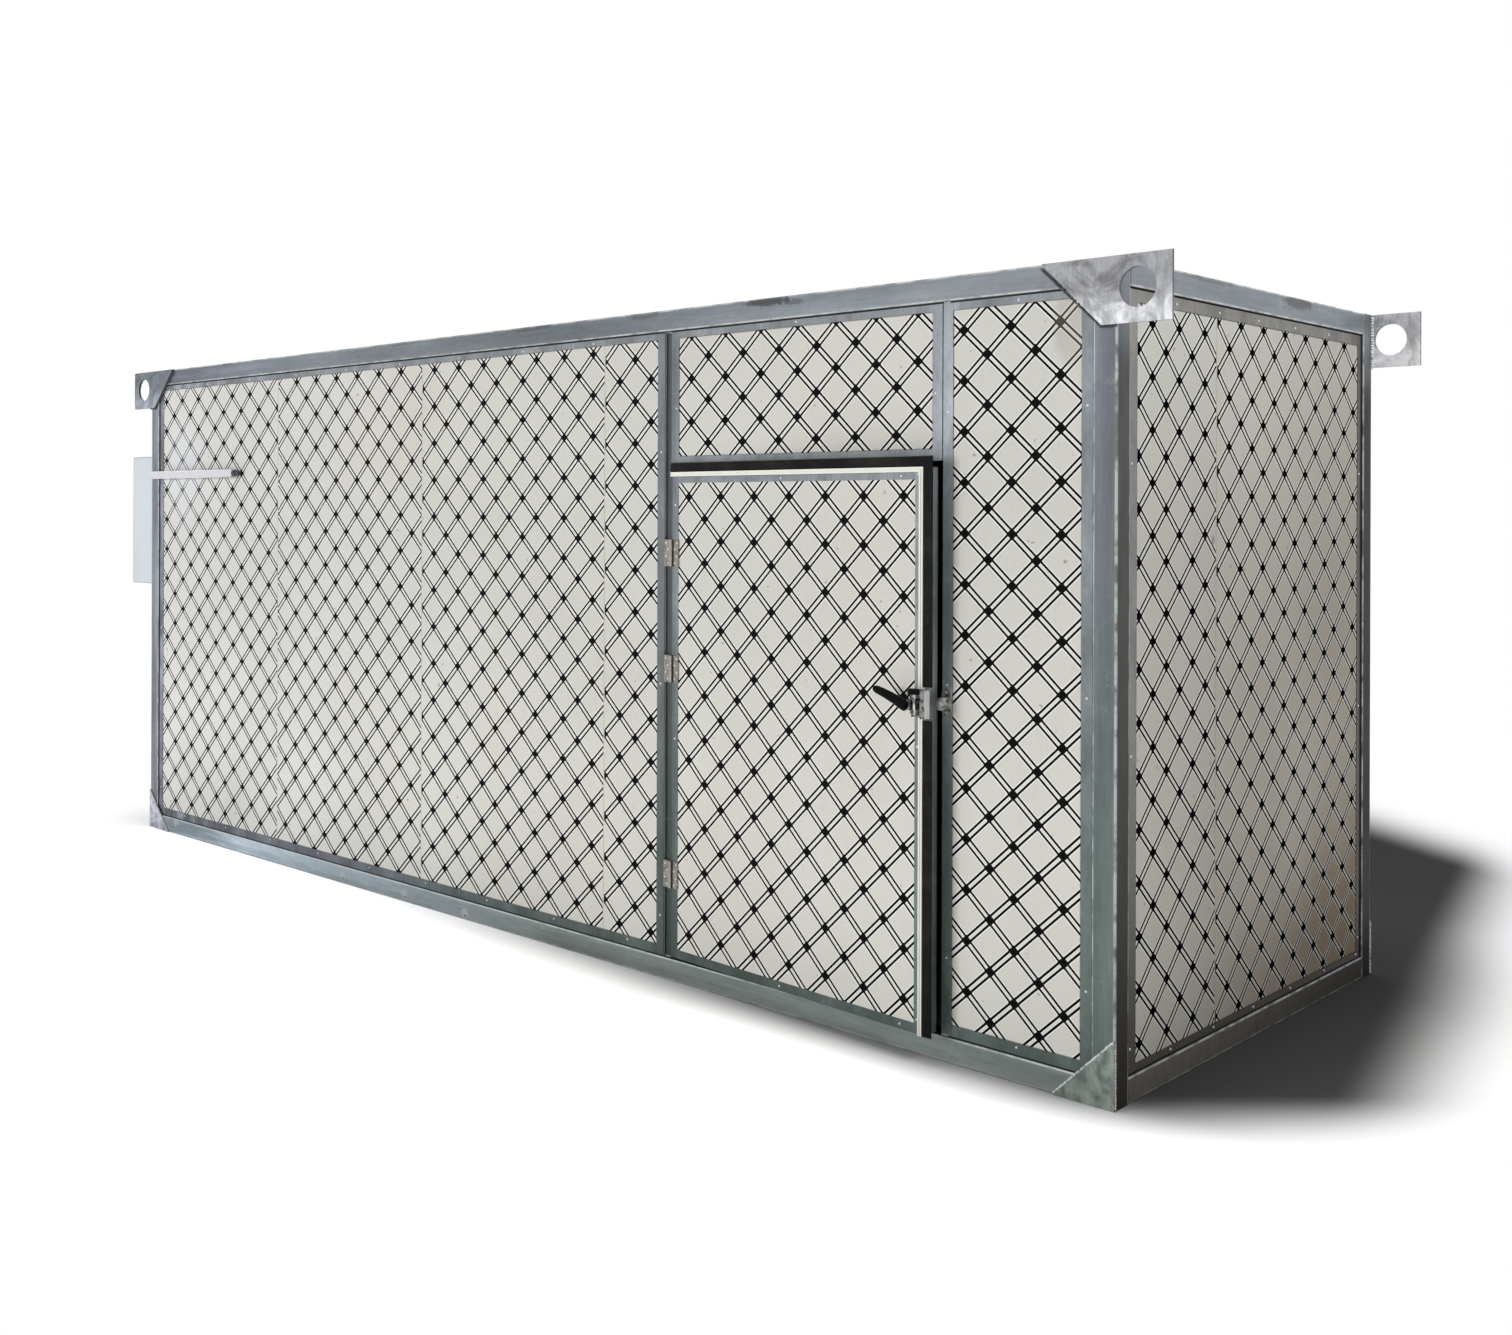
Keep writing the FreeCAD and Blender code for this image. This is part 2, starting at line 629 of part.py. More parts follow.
def latch_keeper():
    """The keeper on the doorway's edging: a base with round ends and an open strike box."""
    face = -WIDTH / 2 + TRIM_FACE
    x0 = DOORWAY_RIGHT - KEEPER_LAP
    x1 = x0 + KEEPER_WIDTH
    middle = (x0 + x1) / 2
    straight = (KEEPER_HEIGHT - KEEPER_WIDTH) / 2
    base = box(x0, x1, face - KEEPER_THICKNESS, face, LATCH_CENTRE - straight, LATCH_CENTRE + straight)
    for side in (-1, 1):
        end = V(middle, face, LATCH_CENTRE + side * straight)
        base = base.fuse(rod(KEEPER_WIDTH / 2, end, KEEPER_THICKNESS, V(0, -1, 0)))
    near = x0 + STRIKE_SETBACK
    far = near + STRIKE_WIDTH
    z0 = LATCH_CENTRE - STRIKE_HEIGHT / 2
    z1 = LATCH_CENTRE + STRIKE_HEIGHT / 2
    y1 = face - KEEPER_THICKNESS
    y0 = y1 - STRIKE_REACH
    strike = box(near, far, y0, y1, z0, z1)
    sheet = KEEPER_SHEET
    strike = strike.cut(box(near, far - sheet, y0 + sheet, y1, z0 + sheet, z1 - sheet))
    return base.fuse(strike).removeSplitter()


def cabinet_block(x0, x1):
    """A full-height slice of the control cabinet with rounded long edges."""
    y0 = -WIDTH / 2 + CABINET_INSET
    block = box(x0, x1, y0, y0 + CABINET_WIDTH, CABINET_TOP - CABINET_HEIGHT, CABINET_TOP)
    return block.makeFillet(CABINET_RADIUS, long_edges(block, V(1, 0, 0)))


def control_cabinet():
    """The cabinet on the left end wall, with the door that covers its front."""
    wall = -LENGTH / 2
    front = wall - CABINET_DEPTH
    door = front - CABINET_DOOR_GAP
    return Part.makeCompound([cabinet_block(front, wall), cabinet_block(door - CABINET_DOOR, door)])


def cable_trunking():
    """The trunking that leads along the front to the cabinet."""
    x0 = -LENGTH / 2 + TRUNKING_INSET
    face = -WIDTH / 2
    z0 = TRUNKING_TOP - TRUNKING_HEIGHT
    return box(x0, x0 + TRUNKING_LENGTH, face - TRUNKING_DEPTH, face, z0, TRUNKING_TOP)


def cable_gland():
    """The gland in the trunking's free end and the elbow that leads into the cabinet's side."""
    x0 = -LENGTH / 2 + TRUNKING_INSET
    x1 = x0 + TRUNKING_LENGTH
    y = -WIDTH / 2 - TRUNKING_DEPTH / 2
    z = TRUNKING_TOP - TRUNKING_HEIGHT / 2
    nut = rod(GLAND_RADIUS, V(x1, y, z), GLAND_LENGTH / 2, V(1, 0, 0))
    dome = rod(GLAND_NECK_RADIUS, V(x1 + GLAND_LENGTH / 2, y, z), GLAND_LENGTH / 2, V(1, 0, 0))
    bend = TRUNKING_DEPTH / 2 + CABINET_INSET
    elbow = Part.makeTorus(bend, ELBOW_RADIUS, V(0, 0, 0), V(0, 0, 1), 0, 360, 90)
    elbow.rotate(V(0, 0, 0), V(0, 0, 1), 180.0)
    elbow.translate(V(x0, y + bend, z))
    return Part.makeCompound([nut.fuse(dome), elbow])


def swung(shape):
    """Turns a piece of the door outwards about the hinge axis to where it rests ajar."""
    shape.rotate(V(HINGE_X, HINGE_Y, 0), V(0, 0, 1), -LEAF_AJAR)
    return shape


def build():
    """Every node by its name."""
    front_start, front_end = FRONT.bay()
    end_start, end_end = RIGHT.bay()
    lock_start = DOORWAY_RIGHT + LOCK_POST_WIDTH
    hinge_end = DOORWAY_LEFT - HINGE_POST_WIDTH
    over_door = DOORWAY_TOP + HEADER_HEIGHT
    nodes = {
        "base_rail_front": long_rail(-1, 0.0),
        "base_rail_back": long_rail(1, 0.0),
        "base_rail_left": short_rail(-1, 0.0),
        "base_rail_right": short_rail(1, 0.0),
        "base_cross_members": base_cross_members(),
        "top_rail_front": long_rail(-1, BAY_TOP),
        "top_rail_back": long_rail(1, BAY_TOP),
        "top_rail_left": short_rail(-1, BAY_TOP),
        "top_rail_right": short_rail(1, BAY_TOP),
        "hinge_post": hinge_post(),
        "lock_post": lock_post(),
        "door_header": door_header(),
        "corner_gussets": corner_gussets(),
        "front_panels": panel_row(FRONT, front_start, hinge_end, FIRST_FRONT_PANEL, BAY_BOTTOM, BAY_TOP),
        "over_door_panel": panel_row(FRONT, DOORWAY_LEFT, DOORWAY_RIGHT, DOORWAY_WIDTH, over_door, BAY_TOP),
        "lock_side_panel": panel_row(FRONT, lock_start, front_end, PANEL_MODULE, BAY_BOTTOM, BAY_TOP),
        "right_end_panels": panel_row(RIGHT, end_start, end_end, FIRST_END_PANEL, BAY_BOTTOM, BAY_TOP),
        "left_end_panels": panel_row(LEFT, end_start, end_end, PANEL_MODULE, BAY_BOTTOM, BAY_TOP),
        "back_panels": panel_row(BACK, front_start, front_end, FIRST_FRONT_PANEL, BAY_BOTTOM, BAY_TOP),
        "floor_panels": flat_panels(CROSS_MEMBER_HEIGHT),
        "roof_panels": flat_panels(HEIGHT - PANEL_SETBACK - PANEL_THICKNESS),
        "roof_trim": roof_trim(),
        "front_trim": trim_frame(
            FRONT, front_start + TRIM_GAP, hinge_end + DOOR_TRIM_LAP,
            BAY_BOTTOM + TRIM_GAP, BAY_TOP - TRIM_GAP_TOP,
            TRIM_SIDE, TRIM_SIDE, TRIM_FRONT_BOTTOM - TRIM_GAP, TRIM_FRONT_TOP - TRIM_GAP_TOP),
        "over_door_trim": trim_frame(
            FRONT, DOORWAY_LEFT, DOORWAY_RIGHT - DOOR_TRIM_LAP, DOORWAY_TOP, BAY_TOP - TRIM_GAP_TOP,
            TRIM_SIDE, TRIM_SIDE, TRIM_SIDE, TRIM_FRONT_TOP - TRIM_GAP_TOP),
        "lock_side_trim": trim_frame(
            FRONT, DOORWAY_RIGHT, front_end - TRIM_GAP, BAY_BOTTOM + TRIM_GAP, BAY_TOP - TRIM_GAP_TOP,
            TRIM_SIDE, TRIM_SIDE, TRIM_FRONT_BOTTOM - TRIM_GAP, TRIM_FRONT_TOP - TRIM_GAP_TOP),
        "door_panel": swung(door_panel()),
        "door_trim": swung(door_trim()),
        "door_seal_strip": swung(door_seal_strip()),
        "door_seal_lip": swung(door_seal_lip()),
        "hinge_frame_wings": hinge_wings(-1),
        "hinge_door_wings": swung(hinge_wings(1)),
        "latch_body": swung(latch_body()),
        "latch_cap": swung(latch_cap()),
        "latch_lever": swung(latch_lever()),
        "lever_grip": swung(lever_grip()),
        "latch_keeper": latch_keeper(),
        "control_cabinet": control_cabinet(),
        "cable_trunking": cable_trunking(),
        "cable_gland": cable_gland(),
    }
    for name, wall, near, far in (
        ("right_end_trim", RIGHT, TRIM_RIGHT_END_NEAR, TRIM_RIGHT_END_FAR),
        ("left_end_trim", LEFT, TRIM_SIDE, TRIM_SIDE),
        ("back_trim", BACK, TRIM_SIDE, TRIM_SIDE),
    ):
        start, end = wall.bay()
        nodes[name] = trim_frame(
            wall, start + TRIM_GAP, end - TRIM_GAP, BAY_BOTTOM + TRIM_GAP, BAY_TOP - TRIM_GAP_TOP,
            near, far, TRIM_END_BOTTOM - TRIM_GAP, TRIM_END_TOP - TRIM_GAP_TOP)
    for side_x, name_x in ((-1, "left"), (1, "right")):
        for side_y, name_y in ((-1, "front"), (1, "back")):
            nodes["corner_post_%s_%s" % (name_y, name_x)] = corner_post(side_x, side_y)
            nodes["lifting_plate_%s_%s" % (name_y, name_x)] = lifting_plate(side_x, side_y)
    return nodes


def export(nodes):
    """Writes one STEP file for each node."""
    for name, shape in nodes.items():
        shape.exportStep(os.path.join("parts", name + ".step"))
        print("%-28s valid %s solids %d" % (name, shape.isValid(), len(shape.Solids)))


export(build())
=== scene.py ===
import json
import math
import random
from functools import reduce
from typing import NamedTuple

import bmesh
import bpy
from bpy.props import FloatProperty, FloatVectorProperty, IntProperty, PointerProperty
from bpy.types import Operator, Panel, PropertyGroup
from mathutils import Matrix, Vector


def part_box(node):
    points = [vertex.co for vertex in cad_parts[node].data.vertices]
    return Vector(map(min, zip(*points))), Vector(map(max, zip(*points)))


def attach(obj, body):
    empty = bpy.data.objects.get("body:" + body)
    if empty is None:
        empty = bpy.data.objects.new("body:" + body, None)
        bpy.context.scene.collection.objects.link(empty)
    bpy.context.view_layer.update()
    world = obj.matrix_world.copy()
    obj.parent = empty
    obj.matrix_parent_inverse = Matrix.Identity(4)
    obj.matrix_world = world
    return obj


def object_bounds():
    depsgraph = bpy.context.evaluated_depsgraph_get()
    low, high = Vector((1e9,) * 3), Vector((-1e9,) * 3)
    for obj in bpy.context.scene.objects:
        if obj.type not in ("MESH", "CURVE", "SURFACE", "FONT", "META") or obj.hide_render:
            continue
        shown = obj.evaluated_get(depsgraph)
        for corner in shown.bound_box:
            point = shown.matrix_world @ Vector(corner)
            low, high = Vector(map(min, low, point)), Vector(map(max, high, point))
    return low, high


bl_info = {
    "name": "Electric Drying Chamber",
    "version": (1, 0, 0),
    "blender": (4, 5, 0),
    "location": "View3D > Sidebar > Drying Chamber",
    "description": "Finishes, fasteners, welds and stage for the electric drying chamber",
    "category": "Object",
}

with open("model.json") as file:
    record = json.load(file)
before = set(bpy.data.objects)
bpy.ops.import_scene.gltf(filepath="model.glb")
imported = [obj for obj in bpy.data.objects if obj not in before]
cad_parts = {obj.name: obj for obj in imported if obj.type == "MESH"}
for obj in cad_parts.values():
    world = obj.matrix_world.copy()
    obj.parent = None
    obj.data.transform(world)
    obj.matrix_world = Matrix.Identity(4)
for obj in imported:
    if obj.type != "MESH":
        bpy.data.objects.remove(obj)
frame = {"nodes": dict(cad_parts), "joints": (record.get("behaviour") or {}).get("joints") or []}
CAD_LOW, CAD_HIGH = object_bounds()

# Bodies that the new pieces ride on
SHELL = "chamber"
DOOR = "door"


# Sizes and colours that a user would change


def length_setting(name, description, default):
    """A setting in metres."""
    return FloatProperty(name=name, description=description, default=default, unit="LENGTH")


def colour_setting(name, description, default):
    """A colour setting in linear light."""
    return FloatVectorProperty(name=name, description=description, default=default, subtype="COLOR")


class PrintSettings(PropertyGroup):
    """The diamond lattice printed on the sandwich panels."""

    band: length_setting("Band", "Distance between the paired lines", 0.0175)
    line: length_setting("Line", "Width of a printed line", 0.0076)
    margin: length_setting("Margin", "Pale edge beside a printed line", 0.0042)
    seam: length_setting("Seam", "Plain strip each side of a panel joint", 0.0030)
    cell: colour_setting("Cell", "Ground colour", (0.612, 0.608, 0.564))
    cell_left: colour_setting("Cell at the left", "Ground colour by the cabinet", (0.655, 0.655, 0.642))
    pale: colour_setting("Pale edge", "Colour beside the printed lines", (0.97, 0.97, 0.94))
    ink: colour_setting("Ink", "Colour of lines and diamonds", (0.004, 0.004, 0.004))


class MetalSettings(PropertyGroup):
    """The galvanised frame, its edging and the ground plates."""

    tube: colour_setting("Tube", "Galvanised tube", (0.210, 0.236, 0.262))
    tube_left: colour_setting("Tube at the left", "Tube at the cabinet's end", (0.212, 0.230, 0.266))
    # Painted shade, greener as a painted reflection of the ground, low down by the door
    tube_low_shade: colour_setting("Tube low down", "Tube low down by the door", (0.122, 0.162, 0.148))
    # Painted light and shade: at the cabinet's end the top rails are darker and the base rails lighter, in
    # place of their reflections
    top_left: colour_setting("Top rails at the left", "Their tone by the cabinet", (0.115, 0.127, 0.156))
    rail_left: colour_setting("Base rails at the left", "Their tone by the cabinet", (0.570, 0.680, 0.760))
    # Painted shade, greener as a painted reflection of the ground, on the base rails by the door
    rail_low_shade: colour_setting("Base rails", "Their tone by the door", (0.275, 0.320, 0.302))
    edging: colour_setting("Edging", "Galvanised sheet edging", (0.245, 0.268, 0.288))
    # Painted shade: the edging of the end by the door is darker and browner
    shaded_end_edging: colour_setting("End edging", "Edging of the end by the door", (0.200, 0.195, 0.180))
    plate: colour_setting("Plate", "Ground steel plate", (0.37, 0.375, 0.395))
    spangle: length_setting("Spangle", "Size of the zinc crystals", 0.016)


class FastenerSettings(PropertyGroup):
    """Rivets, screws and weld beads."""

    rivet: length_setting("Rivet radius", "Radius of a rivet head", 0.0045)
    rivet_rise: length_setting("Rivet rise", "Height of a rivet head", 0.0022)
    front_pitch: length_setting("Front pitch", "Distance between rivets on the long walls", 0.43)
    end_pitch: length_setting("End pitch", "Distance between rivets on the end walls", 0.29)
    upright_pitch: length_setting("Upright pitch", "Distance between rivets on upright strips", 0.87)
    screw: length_setting("Screw radius", "Radius of a screw head", 0.0040)
    bead: length_setting("Bead radius", "Half the width of a weld bead", 0.0048)
    facets: IntProperty(name="Facets", description="Sides of a round head", default=10, min=6, max=24)


def power_setting(name, description, default):
    """A setting in watts."""
    return FloatProperty(name=name, description=description, default=default, unit="POWER")


class StageSettings(PropertyGroup):
    """Floor, lights and camera."""

    key_watts: power_setting("Key light", "Power of the light at the front left", 8200.0)
    end_watts: power_setting("End light", "Power of the light above the end by the door", 46.0)
    top_watts: power_setting("Top light", "Power of the light overhead", 520.0)
    sky: FloatProperty(name="Sky", description="Strength of the light from all round", default=0.22)
    floor_size: length_setting("Floor", "Width of the floor", 80.0)
    lens: FloatProperty(name="Lens", description="Millimetres on a 36 mm wide frame", default=37.54)


SETTINGS = {
    "chamber_print": PrintSettings,
    "chamber_metal": MetalSettings,
    "chamber_fasteners": FastenerSettings,
    "chamber_stage": StageSettings,
}


# Node trees


class Finish:
    """A material under construction, with one short call for each node that the finishes use."""

    def __init__(self, name, roughness=0.5, metallic=0.0):
        self.material = bpy.data.materials.new(name)
        self.material.use_nodes = True
        self.tree = self.material.node_tree
        self.tree.nodes.clear()
        self.output = self.add("ShaderNodeOutputMaterial")
        self.surface = self.add("ShaderNodeBsdfPrincipled")
        self.surface.inputs["Roughness"].default_value = roughness
        self.surface.inputs["Metallic"].default_value = metallic
        self.tree.links.new(self.surface.outputs[0], self.output.inputs[0])
        coordinates = self.add("ShaderNodeTexCoord")
        self.place = coordinates.outputs["Object"]
        self.normal = coordinates.outputs["Normal"]

    def add(self, kind):
        return self.tree.nodes.new(kind)

    def put(self, socket, value):
        """Links a socket or sets its value."""
        if isinstance(value, bpy.types.NodeSocket):
            self.tree.links.new(value, socket)
        elif hasattr(value, "__len__"):
            filled = tuple(value)
            lacks_alpha = socket.type == "RGBA" and len(filled) == 3
            socket.default_value = filled + (1.0,) if lacks_alpha else filled
        else:
            socket.default_value = value

    def math(self, operation, *values):
        node = self.add("ShaderNodeMath")
        node.operation = operation
        for socket, value in zip(node.inputs, values):
            self.put(socket, value)
        return node.outputs[0]

    def chain(self, operation, values):
        """Joins any number of values by one operation."""
        return reduce(lambda first, second: self.math(operation, first, second), values)

    def times(self, *values):
        return self.chain("MULTIPLY", values)

    def plus(self, *values):
        return self.chain("ADD", values)

    def least(self, *values):
        return self.chain("MINIMUM", values)

    def most(self, *values):
        return self.chain("MAXIMUM", values)

    def minus(self, first, second):
        return self.math("SUBTRACT", first, second)

    def above(self, value, level):
        """1 where a value is over a level."""
        return self.math("GREATER_THAN", value, level)

    def gap(self, first, second):
        """The distance between two values."""
        return self.math("ABSOLUTE", self.minus(first, second))

    def within(self, value, low, high):
        """How far a value lies inside the nearer of two ends."""
        return self.least(self.minus(value, low), self.minus(high, value))

    def diagonal(self, *offs):
        """The length of a line from its parts along the axes."""
        return self.math("SQRT", self.plus(*(self.times(off, off) for off in offs)))

    def vector(self, operation, first, second):
        node = self.add("ShaderNodeVectorMath")
        node.operation = operation
        self.put(node.inputs[0], first)
        self.put(node.inputs[1], second)
        return node.outputs["Value"] if operation == "LENGTH" else node.outputs[0]

    def parts(self, vector):
        node = self.add("ShaderNodeSeparateXYZ")
        self.put(node.inputs[0], vector)
        return node.outputs[0], node.outputs[1], node.outputs[2]

    def turned(self, location, angle):
        """Object coordinates in a frame that stands at location, turned about Z by angle."""
        node = self.add("ShaderNodeMapping")
        node.vector_type = "TEXTURE"
        self.put(node.inputs["Vector"], self.place)
        self.put(node.inputs["Location"], location)
        self.put(node.inputs["Rotation"], (0.0, 0.0, angle))
        return node.outputs[0]

    def noise(self, scale, detail=4.0, rough=0.55, stretch=(1.0, 1.0, 1.0), distortion=0.0):
        node = self.add("ShaderNodeTexNoise")
        self.put(node.inputs["Vector"], self.vector("MULTIPLY", self.place, stretch))
        self.put(node.inputs["Scale"], scale)
        self.put(node.inputs["Detail"], detail)
        self.put(node.inputs["Roughness"], rough)
        self.put(node.inputs["Distortion"], distortion)
        return node.outputs[0]

    def crystals(self, size, stretch):
        """A random grey for each crystal of a zinc coat."""
        node = self.add("ShaderNodeTexVoronoi")
        self.put(node.inputs["Vector"], self.vector("MULTIPLY", self.place, stretch))
        self.put(node.inputs["Scale"], 1.0 / size)
        grey = self.add("ShaderNodeRGBToBW")
        self.put(grey.inputs[0], node.outputs["Color"])
        return grey.outputs[0]

    def span(self, value, low, high, to_low=0.0, to_high=1.0, smooth=False):
        """Maps the stretch from low to high onto the one from to_low to to_high, and clamps it."""
        node = self.add("ShaderNodeMapRange")
        node.interpolation_type = "SMOOTHSTEP" if smooth else "LINEAR"
        for socket, item in zip(node.inputs, (value, low, high, to_low, to_high)):
            self.put(socket, item)
        return node.outputs[0]

    def swing(self, noise, to_low, to_high):
        """Maps a noise, which keeps mostly between 0.3 and 0.7, onto a range."""
        return self.span(noise, 0.3, 0.7, to_low, to_high)

    def blend(self, share, first, second):
        node = self.add("ShaderNodeMix")
        node.data_type = "RGBA"
        self.put(node.inputs[0], share)
        self.put(node.inputs[6], first)
        self.put(node.inputs[7], second)
        return node.outputs[2]

    def shade(self, colour, amount):
        """A colour made lighter or darker by a grey factor round 1."""
        node = self.add("ShaderNodeVectorMath")
        node.operation = "SCALE"
        self.put(node.inputs[0], colour)
        self.put(node.inputs["Scale"], amount)
        return node.outputs[0]

    def spot(self, centre, radius, ragged):
        """1 inside an ellipsoid round a point, fading to 0 at its edge, with a ragged outline."""
        offset = self.vector("SUBTRACT", self.place, centre)
        reach = self.vector("LENGTH", self.vector("DIVIDE", offset, radius), (0.0, 0.0, 0.0))
        edge = self.times(self.minus(self.noise(60.0, 3.0), 0.5), ragged)
        return self.span(self.plus(reach, edge), 1.0, 0.55, smooth=True)

    def colour(self, value):
        self.put(self.surface.inputs["Base Color"], value)

    def roughness(self, value):
        self.put(self.surface.inputs["Roughness"], value)

    def sheen(self, value):
        self.put(self.surface.inputs["Specular IOR Level"], value)

    def duller(self, mask, metallic):
        """Takes the metal look and most of the sheen away where a mask is 1."""
        self.put(self.surface.inputs["Metallic"], self.span(mask, 0.0, 1.0, metallic, 0.0))
        self.sheen(self.span(mask, 0.0, 1.0, 0.5, 0.08))

    def bump(self, height, distance, strength):
        node = self.add("ShaderNodeBump")
        self.put(node.inputs["Strength"], strength)
        self.put(node.inputs["Distance"], distance)
        self.put(node.inputs["Height"], height)
        self.put(self.surface.inputs["Normal"], node.outputs[0])


def dress(finish, *names):
    """Gives a finish to CAD nodes."""
    for name in names:
        piece = frame["nodes"][name]
        if not piece.material_slots:
            piece.data.materials.append(finish.material)
        for slot in piece.material_slots:
            slot.material = finish.material


def hinge_line():
    """The foot of the door's hinge axis and the angle by which the leaf stands ajar."""
    swing = next(item for item in frame["joints"] if item["name"] == "door_swing")
    place = Vector(swing["pos_m"])
    return Vector((place.x, place.y, 0.0)), math.radians(-swing["range_deg"][0])


def on_leaf(along, inward, height):
    """A point of the leaf: along it from the hinge axis, into the chamber, and up."""
    foot, ajar = hinge_line()
    return foot + Matrix.Rotation(-ajar, 3, "Z") @ Vector((along, inward, height))


def leaf_outward():
    """The direction in which the leaf's printed side looks."""
    return on_leaf(0, -1, 0) - on_leaf(0, 0, 0)


# Printed panels


# How far the leaf's skin and its edging lie inward of the hinge axis
LEAF_SKIN = 0.0085
LEAF_FACE = 0.0065
# Panel joints along each wall
FRONT_SEAMS = (-1.655, -0.465, 0.725)
RIGHT_SEAMS = (-0.305,)
BACK_SEAMS = (-1.655, -0.465, 0.725, 1.915)
LEFT_SEAMS = (0.310,)


class Lattice(NamedTuple):
    """How the print lies on one panel: its pitches, the place of one crossing, and its lean."""

    pitch_along: float
    pitch_up: float
    along: float
    up: float
    lean: float


# The print of each wall, panel by panel from low to high X or Y
FRONT_PRINTS = (
    Lattice(0.1734, 0.1596, -2.255, 1.052, 0.013),
    Lattice(0.1724, 0.1605, -1.058, 1.324, -0.002),
    Lattice(0.1722, 0.1607, 0.140, 1.237, -0.001),
    Lattice(0.1722, 0.1608, 0.899, 1.362, 0.003),
)
OVER_DOOR_PRINTS = (Lattice(0.1706, 0.1589, 1.708, 2.237, -0.004),)
LOCK_SIDE_PRINTS = (Lattice(0.1737, 0.1606, 2.581, 1.200, 0.009),)
RIGHT_PRINTS = (
    Lattice(0.1715, 0.1602, -0.550, 1.199, 0.008),
    Lattice(0.1704, 0.1600, 0.294, 0.844, -0.002),
)
LEAF_PRINTS = (Lattice(0.1704, 0.1617, 0.604, 0.992, 0.004),)
BACK_PRINTS = (
    *FRONT_PRINTS[:3],
    Lattice(0.1722, 0.1608, 1.310, 1.362, 0.003),
    Lattice(0.1737, 0.1606, 2.390, 1.200, 0.0),
)
LEFT_PRINTS = (
    Lattice(0.1715, 0.1602, -0.300, 1.199, 0.0),
    Lattice(0.1704, 0.1600, 0.580, 0.844, 0.0),
)

# Width over which a printed line fades, and how much the diamonds outgrow their lines
PRINT_FADE = 0.0004
KNOT_GROWTH = 1.14


def by_panel(finish, along, seams, values):
    """A value that changes from panel to panel at the seams."""
    total = values[0]
    for seam, before, after in zip(seams, values, values[1:]):
        total = finish.plus(total, finish.times(finish.above(along, seam), after - before))
    return total


def lattice_masks(finish, along, up, seams, prints):
    """Masks of the ink and of the pale edge beside it."""
    sizes = bpy.context.scene.chamber_print
    spacing = 1.0 / math.hypot(1.0 / prints[0].pitch_along, 1.0 / prints[0].pitch_up)
    columns = [by_panel(finish, along, seams, values) for values in zip(*prints)]
    pitch_along, pitch_up, start_along, start_up, lean = columns
    rise = finish.minus(up, start_up)
    across = finish.plus(finish.minus(along, start_along), finish.times(lean, rise))
    across = finish.math("DIVIDE", across, pitch_along)
    rise = finish.math("DIVIDE", rise, pitch_up)
    half = sizes.band / 2
    reach = sizes.line / 2
    tip = (half + reach) * KNOT_GROWTH
    inks = []
    pales = []
    distances = []
    for operation in ("ADD", "SUBTRACT"):
        turns = finish.math(operation, across, rise)
        off = finish.times(finish.math("PINGPONG", turns, 0.5), spacing)
        from_line = finish.gap(off, half)
        inks.append(finish.span(from_line, reach + PRINT_FADE, reach - PRINT_FADE))
        pales.append(finish.span(from_line, reach + sizes.margin, reach + sizes.margin * 0.6))
        distances.append(off)
    furthest = finish.most(*distances)
    inks.append(finish.span(furthest, tip + PRINT_FADE, tip - PRINT_FADE))
    pales.append(finish.span(furthest, tip + sizes.margin, tip + sizes.margin * 0.5))
    return finish.most(*inks), finish.most(*pales)


def border(finish, along, up, low, high):
    """1 on the strip of a wall that shows in the gap round its edging, made near black as painted shade."""
    inward = finish.least(finish.within(along, low[0], high[0]), finish.within(up, low[1], high[1]))
    return finish.span(inward, 0.0058, 0.0050)


class Overlap(NamedTuple):
    """The edging that lies on a wall, and how far it reaches over the wall at each side."""

    trim: str
    start: float
    end: float
    bottom: float
    top: float


OVERLAPS = {
    "front_panels": Overlap("front_trim", 0.037, 0.037, 0.035, 0.023),
    "over_door_panel": Overlap("over_door_trim", 0.037, 0.037, 0.037, 0.023),
    "lock_side_panel": Overlap("lock_side_trim", 0.037, 0.037, 0.035, 0.023),
    "right_end_panels": Overlap("right_end_trim", 0.052, 0.030, 0.022, 0.037),
}


def beside_trim(finish, along, up, index, overlap):
    """Painted shadow: the fine dark line where a bay's edging ends on its wall."""
    low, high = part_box(overlap.trim)
    sides = finish.within(along, low[index] + overlap.start, high[index] - overlap.end)
    ends = finish.within(up, low.z + overlap.bottom, high.z - overlap.top)
    return finish.span(finish.least(sides, ends), 0.0040, 0.0020, 0.0, 0.65)


# Wear of the coated skins, the painted shade and shadow round their edging, and the painted shade of the
# end by the door
WARM_SKIN = (0.612, 0.585, 0.530)
SCRATCH = (0.30, 0.28, 0.25)
SPECK = (0.16, 0.14, 0.12)
GAP_SHADE = (0.012, 0.012, 0.012)
EDGING_SHADOW = (0.05, 0.05, 0.05)
END_SHADE = (0.205, 0.147, 0.085)
PANEL_SHEEN = 0.04
PALE_STRENGTH = 0.55
GROOVE_STRENGTH = 0.5


